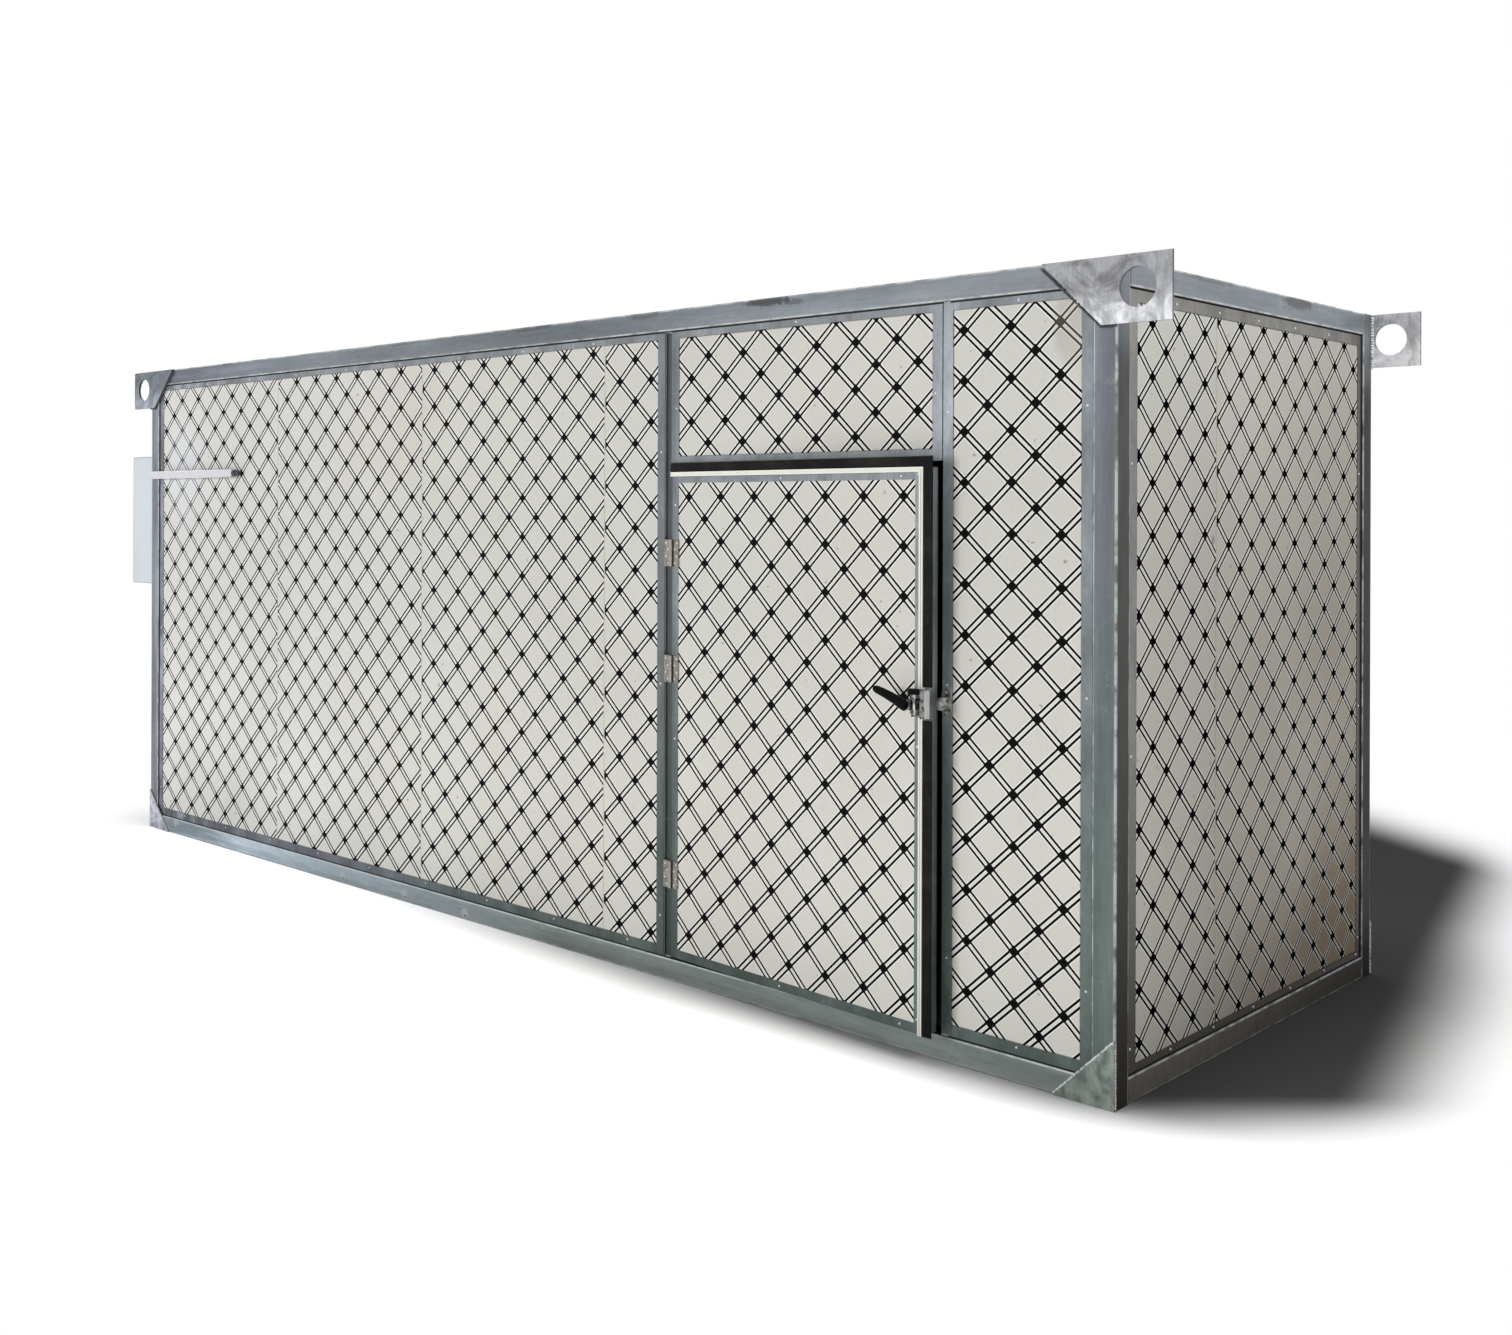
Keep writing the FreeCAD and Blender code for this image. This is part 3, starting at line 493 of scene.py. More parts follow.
def skin(finish, ground):
    """The coated sheet: faint clouds, long shallow ripples, fine scratches and specks of dirt."""
    clouds = finish.noise(1.6, 3.0, 0.5)
    ripples = finish.noise(7.0, 4.0, 0.6, stretch=(1.0, 1.0, 0.30), distortion=0.8)
    crease = finish.span(finish.gap(ripples, 0.5), 0.0, 0.012, 0.975, 1.0)
    hairs = finish.noise(30.0, 2.0, 0.5, stretch=(1.0, 1.0, 0.16), distortion=1.6)
    rare = finish.span(finish.noise(4.0, 2.0), 0.52, 0.62)
    scratch = finish.times(finish.span(finish.gap(hairs, 0.5), 0.0060, 0.0020), rare)
    warmer = finish.span(finish.noise(0.9, 2.0), 0.35, 0.65, 0.0, 0.5)
    colour = finish.blend(warmer, ground, WARM_SKIN)
    colour = finish.shade(colour, finish.times(crease, finish.swing(clouds, 0.965, 1.03)))
    colour = finish.blend(finish.times(scratch, 0.30), colour, SCRATCH)
    specks = finish.span(finish.noise(34.0, 2.0, 0.5), 0.735, 0.765, 0.0, 0.55)
    colour = finish.blend(specks, colour, SPECK)
    finish.roughness(finish.swing(clouds, 0.38, 0.52))
    grain = finish.noise(140.0, 3.0, 0.6, stretch=(1.0, 1.0, 0.5))
    finish.bump(finish.plus(finish.times(grain, 0.25), finish.times(ripples, 0.5)), 0.0010, 0.5)
    return colour


def panel_finish(node, axis, outward, seams, prints, marks):
    """The print on the outer skin of a wall, and a plain off-white skin on all its other sides."""
    sizes = bpy.context.scene.chamber_print
    finish = Finish(node.replace("_", " "))
    low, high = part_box(node)
    index = "XYZ".index(axis)
    if node == "door_panel":
        foot, ajar = hinge_line()
        x, y, z = finish.parts(finish.turned(foot, -ajar))
        face = LEAF_SKIN
    else:
        x, y, z = finish.parts(finish.place)
        face = (high if outward > 0 else low)[1 - index]
    along, depth = (x, y) if axis == "X" else (y, x)
    ink, pale = lattice_masks(finish, along, z, seams, prints)
    # The outer skin is what lies within 2 mm of the wall's face
    outside = finish.above(finish.times(finish.minus(depth, face), outward), -0.002)
    keep = outside
    groove = 0.0
    for seam in seams:
        off = finish.gap(along, seam)
        keep = finish.times(keep, finish.above(off, sizes.seam))
        groove = finish.most(groove, finish.span(off, 0.0013, 0.0007))
    ground = finish.blend(finish.span(x, 0.0, -2.5), sizes.cell, sizes.cell_left)
    # Painted light: the walls are made lighter low down, to even out how the lamps light them
    ground = finish.shade(ground, finish.span(z, 1.5, 0.3, 1.0, 1.20, smooth=True))
    finish.sheen(PANEL_SHEEN)
    if node == "right_end_panels":
        # The end by the door is in the shade: painted shade, darker and browner low down and towards the
        # back
        end_shade_share = finish.times(finish.span(z, 2.5, 0.2, 0.12, 0.92), finish.span(y, -0.9, 0.6, 0.24, 1.10))
        ground = finish.blend(end_shade_share, ground, END_SHADE)
        finish.sheen(0.0)
    colour = skin(finish, ground)
    colour = finish.blend(finish.times(pale, keep, PALE_STRENGTH), colour, sizes.pale)
    colour = finish.blend(finish.times(ink, keep), colour, sizes.ink)
    if seams:
        colour = finish.blend(finish.times(groove, GROOVE_STRENGTH), colour, SCRATCH)
    colour = add_marks(finish, colour, marks)
    if node != "door_panel":
        # Painted shade: the strip seen in the gap round the edging is made near black
        gap = border(finish, along, z, (low[index], low.z), (high[index], high.z))
        colour = finish.blend(finish.times(gap, outside), colour, GAP_SHADE)
    if node in OVERLAPS:
        # Painted shadow along the inner edge of the edging
        line = beside_trim(finish, along, z, index, OVERLAPS[node])
        colour = finish.blend(finish.times(line, outside), colour, EDGING_SHADOW)
    finish.colour(colour)
    return finish


def plain_panel():
    """Off-white coated skins of the roof and the floor, faintly clouded and scuffed."""
    finish = Finish("plain panel", roughness=0.5)
    clouds = finish.noise(2.0, 4.0, 0.55)
    scuff = finish.span(finish.noise(22.0, 6.0, 0.7, stretch=(0.25, 1.0, 1.0)), 0.60, 0.72, 0.0, 0.25)
    colour = finish.shade((0.69, 0.69, 0.66), finish.swing(clouds, 0.93, 1.04))
    finish.colour(finish.blend(scuff, colour, (0.40, 0.38, 0.35)))
    finish.roughness(finish.swing(clouds, 0.42, 0.6))
    finish.bump(finish.noise(90.0, 3.0), 0.0005, 0.3)
    return finish


class CHAMBER_OT_print_panels(Operator):
    """Prints the diamond lattice on the walls and the leaf, and paints the roof and the floor"""

    bl_idname = "drying_chamber.print_panels"
    bl_label = "Panels"

    def execute(self, context):
        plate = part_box("lifting_plate_front_right")[0]
        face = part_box("lock_side_panel")[0].y
        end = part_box("right_end_panels")[1].x
        # A soft brown darkening of the wall beside the near lifting plate
        patch_place = (plate.x + 0.090, face, plate.z + 0.015)
        brown_patch = (Mark(patch_place, (0.075, 0.02, 0.150), (0.28, 0.235, 0.18), 0.26, 0.4),)
        # Painted reflection: a pale bluish sheen on the front wall by the cabinet
        sheen = (Mark((-2.60, face, 1.92), (0.20, 0.02, 0.36), (0.70, 0.74, 0.83), 0.20, 0.2),)
        dent = (Mark((end, -0.327, 1.659), (0.02, 0.012, 0.022), (0.28, 0.26, 0.23), 0.8, 0.6),)
        walls = (
            ("front_panels", "X", -1.0, FRONT_SEAMS, FRONT_PRINTS, sheen),
            ("over_door_panel", "X", -1.0, (), OVER_DOOR_PRINTS, ()),
            ("lock_side_panel", "X", -1.0, (), LOCK_SIDE_PRINTS, brown_patch),
            ("back_panels", "X", 1.0, BACK_SEAMS, BACK_PRINTS, ()),
            ("right_end_panels", "Y", 1.0, RIGHT_SEAMS, RIGHT_PRINTS, dent),
            ("left_end_panels", "Y", -1.0, LEFT_SEAMS, LEFT_PRINTS, ()),
            ("door_panel", "X", -1.0, (), LEAF_PRINTS, ()),
        )
        for wall in walls:
            dress(panel_finish(*wall), wall[0])
        dress(plain_panel(), "floor_panels", "roof_panels")
        return {"FINISHED"}


def nearest(finish, value, levels):
    """The distance from a value to the nearest of a few levels."""
    return finish.least(*(finish.gap(value, level) for level in levels))


def highlit_corners(finish, body, tube, along):
    """Painted highlights: bright lines along the four rounded corners of the tubes that run along one axis.

    The tubes lie alike on both sides of the middle, so one tube's box gives all the lines.
    """
    low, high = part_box(tube)
    place = finish.parts(finish.place)
    offs = []
    for index, axis in enumerate("XYZ"):
        if axis == along:
            continue
        value = place[index]
        levels = (abs(low[index]), abs(high[index]))
        if axis == "Z":
            levels = (*levels, *(CAD_HIGH.z - level for level in levels))
        else:
            value = finish.math("ABSOLUTE", value)
        offs.append(nearest(finish, value, levels))
    corner_highlight_mask = finish.span(finish.most(*offs), 0.0085, 0.0045)
    broken = finish.span(finish.noise(14.0, 4.0, 0.6), 0.40, 0.56, 0.25, 1.0)
    return finish.blend(finish.times(corner_highlight_mask, broken, 0.80), body, CORNER_HIGHLIGHT)


# Galvanised steel


ZINC_METALLIC = 0.45
BLOOM = (0.46, 0.49, 0.50)
# Painted highlight along the tubes' rounded corners
CORNER_HIGHLIGHT = (0.62, 0.64, 0.64)
BAY_BLACK = (0.014, 0.014, 0.015)


def zinc(
    name, colour, along, low_shade_colour=None, left_colour=None, left_low=None, stretch=14.0,
    metallic=ZINC_METALLIC,
):
    """Galvanised steel: crystals, clouds and drawing streaks along the length.

    The left colour holds by the cabinet. The low colours hold near the floor, by the door and
    by the cabinet; by the door they are painted shade, greener as a painted reflection of the ground.
    """
    sizes = bpy.context.scene.chamber_metal
    finish = Finish(name, metallic=metallic)

    def run(along_value, across_value):
        return tuple(along_value if axis == along else across_value for axis in "XYZ")

    crystals = finish.crystals(sizes.spangle, run(0.6, 1.0))
    clouds = finish.noise(3.2, 5.0, 0.6, stretch=run(0.45, 1.0))
    bands = finish.noise(38.0, 3.0, 0.55, stretch=run(0.25 / stretch, 0.25))
    streaks = finish.noise(90.0, 4.0, 0.6, stretch=run(1.0 / stretch, 1.0))
    fine = finish.noise(420.0, 2.0, 0.5, stretch=run(0.3 / stretch, 0.3))
    x, _, z = finish.parts(finish.place)
    base = colour
    if left_colour is not None:
        base = finish.blend(finish.span(x, -0.9, CAD_LOW.x + 0.25, smooth=True), base, left_colour)
    # Low down: painted shade, greener by the door as a painted reflection of the ground
    if low_shade_colour is not None:
        low = finish.span(z, 1.9, 0.35, smooth=True)
        side = finish.span(x, -1.6, 0.8, smooth=True)
        base = finish.blend(low, base, finish.blend(side, left_low or left_colour or colour, low_shade_colour))
    # Wiped streaks show only near the cabinet's end
    wiped = finish.times(
        finish.span(bands, 0.42, 0.60, -0.22, 0.42), finish.span(x, -1.4, -2.7, smooth=True)
    )
    tone = finish.times(
        finish.span(crystals, 0.0, 1.0, 0.95, 1.05), finish.span(clouds, 0.28, 0.72, 0.84, 1.16),
        finish.span(bands, 0.34, 0.66, 0.78, 1.22), finish.span(streaks, 0.25, 0.75, 0.90, 1.10),
        finish.plus(wiped, 1.0), finish.swing(fine, 0.94, 1.06),
    )
    bloom = finish.span(finish.noise(9.0, 6.0, 0.7), 0.60, 0.78, 0.0, 0.35)
    body = finish.blend(bloom, finish.shade(base, tone), BLOOM)
    finish.roughness(finish.swing(clouds, 0.34, 0.52))
    finish.bump(finish.plus(crystals, finish.times(streaks, 2.0)), 0.0002, 0.5)
    return finish, body


class Mark(NamedTuple):
    """A smudge or scuff: an ellipsoid round a point, with a ragged outline."""

    centre: tuple
    radii: tuple
    colour: tuple
    strength: float
    ragged: float


def add_marks(finish, body, marks):
    """Smudges and scuffs at fixed places."""
    for mark in marks:
        mask = finish.times(finish.spot(mark.centre, mark.radii, mark.ragged), mark.strength)
        body = finish.blend(mask, body, mark.colour)
    return body


DARK = (0.030, 0.030, 0.030)
PALE = (0.62, 0.64, 0.65)


def rail_marks(finish, body):
    """Handling smudges on the top rail and pale scuffs on the bottom rail."""
    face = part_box("base_rail_front")[0].y
    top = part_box("top_rail_front")[1].z
    marks = [
        Mark((1.58, face, top - 0.010), (0.130, 0.03, 0.024), DARK, 0.75, 0.9),
        Mark((1.70, face, top - 0.024), (0.060, 0.03, 0.012), DARK, 0.45, 1.2),
        Mark((0.30, face, top - 0.008), (0.180, 0.03, 0.014), DARK, 0.40, 1.0),
        Mark((0.95, face, top - 0.012), (0.110, 0.03, 0.016), DARK, 0.35, 1.1),
        Mark((-0.60, face, top - 0.008), (0.160, 0.03, 0.012), DARK, 0.28, 1.1),
        Mark((-0.15, face, top - 0.040), (1.050, 0.06, 0.300), DARK, 0.20, 0.4),
        Mark((2.45, face, top - 0.040), (0.380, 0.06, 0.300), PALE, 0.12, 0.4),
    ]
    for x, z in ((-1.065, 0.034), (-0.575, 0.032), (-0.138, 0.026), (-2.654, 0.055)):
        marks.append(Mark((x, face, z), (0.030, 0.02, 0.024), PALE, 0.85, 0.7))
        marks.append(Mark((x + 0.004, face, z - 0.010), (0.008, 0.02, 0.006), DARK, 0.8, 0.5))
    return add_marks(finish, body, marks)


def inner_faces(finish, body, axes):
    """Dark narrow faces of the tubes that look into the bays, where no light reaches past the edging."""
    x, y, z = finish.parts(finish.place)
    if "Z" in axes:
        low, high = (corner.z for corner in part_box("front_panels"))
        faces = ((finish.gap(z, (low + high) / 2), (high - low) / 2),)
    else:
        faces = (
            (finish.math("ABSOLUTE", x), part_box("top_rail_front")[1].x),
            (finish.math("ABSOLUTE", y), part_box("top_rail_right")[1].y),
        )
    inside = finish.most(0.0, *(finish.span(off, level + 0.0015, level + 0.0005) for off, level in faces))
    return finish.blend(finish.times(inside, 0.9), body, BAY_BLACK)


def end_face_shade(finish, body, level):
    """Painted shade: darker, browner tones low down on the faces that look past the end by the door."""
    x, y, z = finish.parts(finish.place)
    face = finish.above(x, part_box("corner_post_back_right")[1].x - 0.006)
    share = finish.times(face, finish.span(z, CAD_HIGH.z - 0.03, CAD_HIGH.z - 0.35, smooth=True))
    dark = finish.blend(finish.span(z, 1.9, 0.1), (0.120, 0.128, 0.124), (0.056, 0.052, 0.045))
    far = finish.span(y, -0.6, 0.9, level, level * 0.28)
    grain = finish.swing(finish.noise(30.0, 4.0, 0.6, stretch=(1.0, 1.0, 0.3)), 0.85, 1.15)
    finish.duller(share, ZINC_METALLIC)
    return finish.blend(share, body, finish.shade(dark, finish.times(far, grain)))


def end_rail_marks(finish, body):
    """Smudges on the end rails."""
    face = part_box("top_rail_right")[1].x
    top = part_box("top_rail_right")[1].z
    marks = (
        Mark((face, 0.30, top - 0.018), (0.03, 0.150, 0.026), DARK, 0.65, 1.1),
        Mark((face, -0.35, top - 0.010), (0.03, 0.200, 0.012), DARK, 0.35, 1.2),
        Mark((face, -0.02, 0.030), (0.02, 0.006, 0.028), DARK, 0.7, 0.8),
    )
    return add_marks(finish, body, marks)


# Painted shade: tones of the tubes' faces at the end by the door, and of the door posts, which stand in
# shade
RAIL_END_TONE = 3.0
POST_END_TONE = 0.66
DOOR_POST_TONE = 0.50


class CHAMBER_OT_finish_frame(Operator):
    """Galvanised finish of the tubes, the door posts and the header"""

    bl_idname = "drying_chamber.finish_frame"
    bl_label = "Frame"

    def execute(self, context):
        metal = context.scene.chamber_metal
        finish, body = zinc(
            "zinc tube along X", metal.tube, "X", metal.rail_low_shade, metal.top_left, metal.rail_left
        )
        body = inner_faces(finish, highlit_corners(finish, body, "base_rail_front", "X"), "Z")
        finish.colour(rail_marks(finish, body))
        dress(finish, "base_rail_front", "base_rail_back", "top_rail_front", "top_rail_back", "door_header")
        finish, body = zinc("zinc tube along Y", metal.tube, "Y", metal.tube_low_shade, metal.tube_left)
        body = highlit_corners(finish, end_face_shade(finish, body, RAIL_END_TONE), "base_rail_right", "Y")
        body = inner_faces(finish, body, "Z")
        finish.colour(end_rail_marks(finish, body))
        dress(
            finish, "base_rail_left", "base_rail_right", "top_rail_left", "top_rail_right",
            "base_cross_members",
        )
        finish, body = zinc("zinc tube upright", metal.tube, "Z", metal.tube_low_shade, metal.tube_left)
        height = finish.parts(finish.place)[2]
        body = finish.shade(body, finish.span(height, 1.0, 1.7, 1.0, 0.84, smooth=True))
        body = end_face_shade(finish, body, POST_END_TONE)
        body = highlit_corners(finish, body, "corner_post_front_right", "Z")
        finish.colour(inner_faces(finish, body, "XY"))
        dress(
            finish, "corner_post_front_left", "corner_post_front_right", "corner_post_back_left",
            "corner_post_back_right",
        )
        finish, body = zinc("zinc door post", metal.tube, "Z", metal.tube_low_shade)
        # Painted shade: the door posts are made darker
        finish.colour(finish.shade(body, DOOR_POST_TONE))
        dress(finish, "hinge_post", "lock_post")
        return {"FINISHED"}


class CHAMBER_OT_finish_edging(Operator):
    """Galvanised sheet edging of the bays and the channel round the leaf"""

    bl_idname = "drying_chamber.finish_edging"
    bl_label = "Edging"

    def execute(self, context):
        metal = context.scene.chamber_metal
        finish, body = zinc(
            "zinc edging", metal.edging, "Z", metal.tube_low_shade, metal.tube_left, stretch=3.0, metallic=0.5
        )
        x = finish.parts(finish.place)[0]
        # The strips on the two door posts: darker by the hinges as painted shade, brighter by the lock as
        # painted light
        hinge_side, lock_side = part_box("front_trim")[1].x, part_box("lock_side_trim")[0].x
        for edge, reach, tone in ((hinge_side, 0.075, 0.72), (lock_side, 0.070, 1.40)):
            body = finish.shade(body, finish.span(finish.gap(x, edge), reach, 0.050, 1.0, tone))
        finish.colour(body)
        dress(
            finish, "front_trim", "over_door_trim", "lock_side_trim", "left_end_trim", "back_trim",
            "roof_trim", "door_trim",
        )
        finish, body = zinc("zinc end edging", metal.shaded_end_edging, "Z", stretch=3.0, metallic=0.5)
        _, y, z = finish.parts(finish.place)
        # Painted shade: darker still low down and towards the back
        body = finish.blend(finish.span(z, 1.6, 0.0, smooth=True), body, (0.075, 0.068, 0.055))
        body = finish.blend(finish.span(y, 0.7, 0.95, smooth=True), body, (0.060, 0.056, 0.048))
        finish.colour(body)
        dress(finish, "right_end_trim")
        return {"FINISHED"}


class CHAMBER_OT_finish_plates(Operator):
    """Ground steel of the lifting plates and the gussets"""

    bl_idname = "drying_chamber.finish_plates"
    bl_label = "Plates"

    def execute(self, context):
        metal = context.scene.chamber_metal
        finish = Finish("ground steel plate", metallic=0.5)
        clouds = finish.noise(9.0, 5.0, 0.6, distortion=1.8)
        swirl = finish.noise(150.0, 3.0, 0.6, stretch=(1.0, 1.0, 0.12), distortion=0.4)
        x, y, z = finish.parts(finish.place)
        leftward = finish.span(x, 1.0, -1.0)
        plates = finish.blend(leftward, metal.plate, (0.17, 0.192, 0.225))
        gussets = finish.blend(leftward, (0.150, 0.178, 0.160), (0.34, 0.355, 0.40))
        base = finish.blend(finish.span(z, 0.6, 0.2), plates, gussets)
        # The plates are brighter towards their lower edge
        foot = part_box("lifting_plate_front_right")[0].z
        base = finish.shade(base, finish.span(z, foot + 0.13, foot + 0.02, 0.78, 1.80, smooth=True))
        tone = finish.times(finish.span(clouds, 0.39, 0.61, 0.68, 1.40), finish.swing(swirl, 0.88, 1.12))
        body = finish.shade(base, tone)
        brown_patch = finish.span(finish.noise(7.0, 4.0, 0.6), 0.60, 0.74, 0.0, 0.30)
        body = finish.blend(brown_patch, body, (0.20, 0.17, 0.13))
        # Painted light: the inner sides of the back plates, seen past the end, are made brighter
        towards_back = finish.parts(finish.normal)[1]
        inner = finish.times(finish.span(y, 0.5, 0.6), finish.span(towards_back, -0.5, -0.7))
        body = finish.shade(body, finish.span(inner, 0.0, 1.0, 1.0, 1.75))
        # The cut edges are near black: partly their flame-cut finish, partly painted shade
        cut_edge = finish.span(finish.math("ABSOLUTE", towards_back), 0.7, 0.3, 0.0, 0.80)
        finish.colour(finish.blend(cut_edge, body, (0.045, 0.045, 0.048)))
        finish.roughness(finish.swing(clouds, 0.30, 0.52))
        finish.bump(finish.plus(clouds, swirl), 0.0004, 0.5)
        dress(
            finish, "lifting_plate_front_left", "lifting_plate_front_right", "lifting_plate_back_left",
            "lifting_plate_back_right", "corner_gussets",
        )
        return {"FINISHED"}


# Seal, hinges, latch and services


def moulded(name, colour, roughness, variation):
    """Moulded plastic or rubber with a faint uneven tone and a fine grain."""
    finish = Finish(name)
    clouds = finish.noise(16.0, 4.0, 0.6)
    finish.colour(finish.shade(colour, finish.swing(clouds, 1.0 - variation, 1.0 + variation)))
    finish.roughness(finish.swing(clouds, roughness - 0.06, roughness + 0.06))
    finish.bump(finish.noise(700.0, 2.0), 0.0002, 0.35)
    return finish


class CHAMBER_OT_finish_seal(Operator):
    """The cream carrier and the black rubber lip of the door seal"""

    bl_idname = "drying_chamber.finish_seal"
    bl_label = "Door seal"

    def execute(self, context):
        dress(moulded("cream carrier", (0.80, 0.79, 0.73), 0.42, 0.05), "door_seal_strip")
        rubber = Finish("black rubber")
        rubber.sheen(0.05)
        dust = rubber.span(rubber.noise(20.0, 5.0, 0.65, stretch=(0.4, 0.4, 0.4)), 0.48, 0.70, 0.0, 0.35)
        body = rubber.blend(dust, (0.010, 0.010, 0.010), (0.045, 0.045, 0.038))
        low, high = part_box("door_seal_lip")
        height = rubber.parts(rubber.place)[2]
        # Painted highlight: the lip is lighter and olive-grey along its top and bottom edges
        rim = rubber.span(rubber.within(height, low.z, high.z), 0.0030, 0.0015, 0.0, 0.6)
        rubber.colour(rubber.blend(rim, body, (0.20, 0.20, 0.16)))
        rubber.roughness(rubber.span(dust, 0.0, 0.5, 0.40, 0.62))
        rubber.bump(rubber.noise(240.0, 3.0), 0.0004, 0.4)
        dress(rubber, "door_seal_lip")
        return {"FINISHED"}


# A hinge pin's radius, and the dark ring of painted shade round it at the knuckles, from the hinge axis
PIN_RADIUS = 0.0066
KNUCKLE_START = 0.0072
KNUCKLE_RADIUS = 0.0115


def worn_steel(name, colour, brown_patch, amount, roughness, hinge=None):
    """Steel fittings with a brownish patina in blotches; on a hinge, painted shade round the knuckles
    and a painted highlight along them.
    """
    finish = Finish(name, metallic=0.75)
    blotch = finish.span(finish.noise(45.0, 5.0, 0.65), 0.42, 0.62, 0.0, amount)
    scratch = finish.noise(260.0, 3.0, 0.6, stretch=(1.0, 1.0, 0.08))
    body = finish.shade(colour, finish.span(scratch, 0.25, 0.75, 0.88, 1.12))
    body = finish.blend(blotch, body, brown_patch)
    if hinge is not None:
        x, y, _ = finish.parts(finish.place)
        from_axis = finish.diagonal(finish.minus(x, hinge.x), finish.minus(y, hinge.y))
        knuckle_shade = finish.times(
            finish.span(from_axis, 0.0150, KNUCKLE_RADIUS),
            finish.span(from_axis, PIN_RADIUS, KNUCKLE_START),
        )
        body = finish.blend(finish.times(knuckle_shade, 0.9), body, (0.030, 0.026, 0.023))
        # Painted highlight along the knuckles
        pin = finish.span(from_axis, KNUCKLE_START, PIN_RADIUS, 0.0, 0.55)
        body = finish.blend(pin, body, (0.50, 0.48, 0.45))
    finish.colour(body)
    finish.roughness(finish.span(blotch, 0.0, 1.0, roughness, roughness + 0.25))
    finish.bump(scratch, 0.0002, 0.4)
    return finish


def chrome(name, colour, barred=False, metallic=1.0):
    """Plated casting with painted light: bright towards the light, dark where it faces down or away
    from it, and mottled by painted reflections.

    A barred piece has a painted highlight on its side towards the lock post and is dull on its face.
    """
    finish = Finish(name, metallic=metallic)
    reflection_noise = finish.noise(55.0, 4.0, 0.6)
    across, _, up = finish.parts(finish.normal)
    facet = finish.times(finish.span(across, -0.6, 0.6, 0.22, 1.0), finish.span(up, -0.7, 0.2, 0.12, 1.0))
    if barred:
        dull = finish.span(reflection_noise, 0.44, 0.54, 0.10, 0.62)
        bright = finish.swing(reflection_noise, 0.85, 1.05)
        side = finish.span(across, 0.55, 0.75)
        mottled = finish.plus(dull, finish.times(side, finish.minus(bright, dull)))
    else:
        mottled = finish.span(reflection_noise, 0.42, 0.56, 0.28, 1.10)
    finish.colour(finish.shade(colour, finish.times(facet, mottled)))
    finish.roughness(finish.swing(reflection_noise, 0.12, 0.30))
    finish.bump(finish.noise(120.0, 2.0), 0.0002, 0.3)
    return finish


class CHAMBER_OT_finish_hardware(Operator):
    """Hinges, latch, grip and keeper"""

    bl_idname = "drying_chamber.finish_hardware"
    bl_label = "Hinges and latch"

    def execute(self, context):
        axis, _ = hinge_line()
        hinge = worn_steel("hinge steel", (0.33, 0.31, 0.285), (0.17, 0.125, 0.095), 0.65, 0.35, axis)
        dress(hinge, "hinge_frame_wings", "hinge_door_wings")
        dress(chrome("latch chrome", (0.78, 0.78, 0.77)), "latch_lever")
        dress(chrome("latch body chrome", (0.88, 0.88, 0.87), barred=True, metallic=0.5), "latch_body")
        dress(chrome("keeper chrome", (0.72, 0.71, 0.69), metallic=0.6), "latch_keeper")
        grip = moulded("black grip", (0.003, 0.003, 0.0035), 0.30, 0.20)
        grip.sheen(0.07)
        dress(grip, "lever_grip", "latch_cap")
        return {"FINISHED"}


class CHAMBER_OT_finish_services(Operator):
    """Control cabinet, cable trunking and gland"""

    bl_idname = "drying_chamber.finish_services"
    bl_label = "Cabinet and trunking"

    def execute(self, context):
        cabinet = Finish("cabinet paint")
        clouds = cabinet.noise(3.0, 3.0)
        paint = cabinet.shade((0.58, 0.635, 0.68), cabinet.swing(clouds, 0.95, 1.04))
        low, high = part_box("control_cabinet")
        x, _, z = cabinet.parts(cabinet.place)
        edge = cabinet.least(cabinet.minus(x, low.x), cabinet.within(z, low.z, high.z))
        edge = cabinet.span(edge, 0.0060, 0.0030, 0.0, 0.6)
        cabinet.colour(cabinet.blend(edge, paint, (0.13, 0.14, 0.15)))
        cabinet.roughness(cabinet.swing(clouds, 0.34, 0.48))
        cabinet.bump(cabinet.noise(320.0, 2.0), 0.0003, 0.5)
        dress(cabinet, "control_cabinet")
        dress(moulded("trunking plastic", (0.62, 0.62, 0.66), 0.38, 0.04), "cable_trunking")
        dress(moulded("dark plastic", (0.028, 0.028, 0.030), 0.45, 0.15), "cable_gland")
        return {"FINISHED"}


# Small pieces


def new_piece(name, shape, finish, body):
    """Turns a bmesh into an object at the origin that rides on a body."""
    mesh = bpy.data.meshes.new(name)
    shape.to_mesh(mesh)
    shape.free()
    mesh.polygons.foreach_set("use_smooth", [True] * len(mesh.polygons))
    mesh.materials.append(finish.material)
    piece = bpy.data.objects.new(name, mesh)
    bpy.context.scene.collection.objects.link(piece)
    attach(piece, body)


def facing(point, normal):
    """A placement at a point whose Z looks along a normal."""
    return Matrix.Translation(point) @ Vector(normal).to_track_quat("Z", "Y").to_matrix().to_4x4()


def round_head(shape, place, radius, facets):
    """A flat disc at a placement that faces outward, and the direction outward."""
    made = bmesh.ops.create_circle(shape, cap_ends=True, segments=facets, radius=radius, matrix=place)
    face = made["verts"][0].link_faces[0]
    out = (place.to_3x3() @ Vector((0.0, 0.0, 1.0))).normalized()
    if face.normal.dot(out) < 0:
        face.normal_flip()
    return face, out


def add_rivet(shape, place, sizes):
    """A domed rivet head: each step's inset and rise are shares of its radius and height."""
    face, out = round_head(shape, place, sizes.rivet, sizes.facets)
    for inset, rise in ((0.0, 0.30), (0.22, 0.42), (0.24, 0.28)):
        face = raise_face(shape, face, sizes.rivet * inset, out * sizes.rivet_rise * rise)


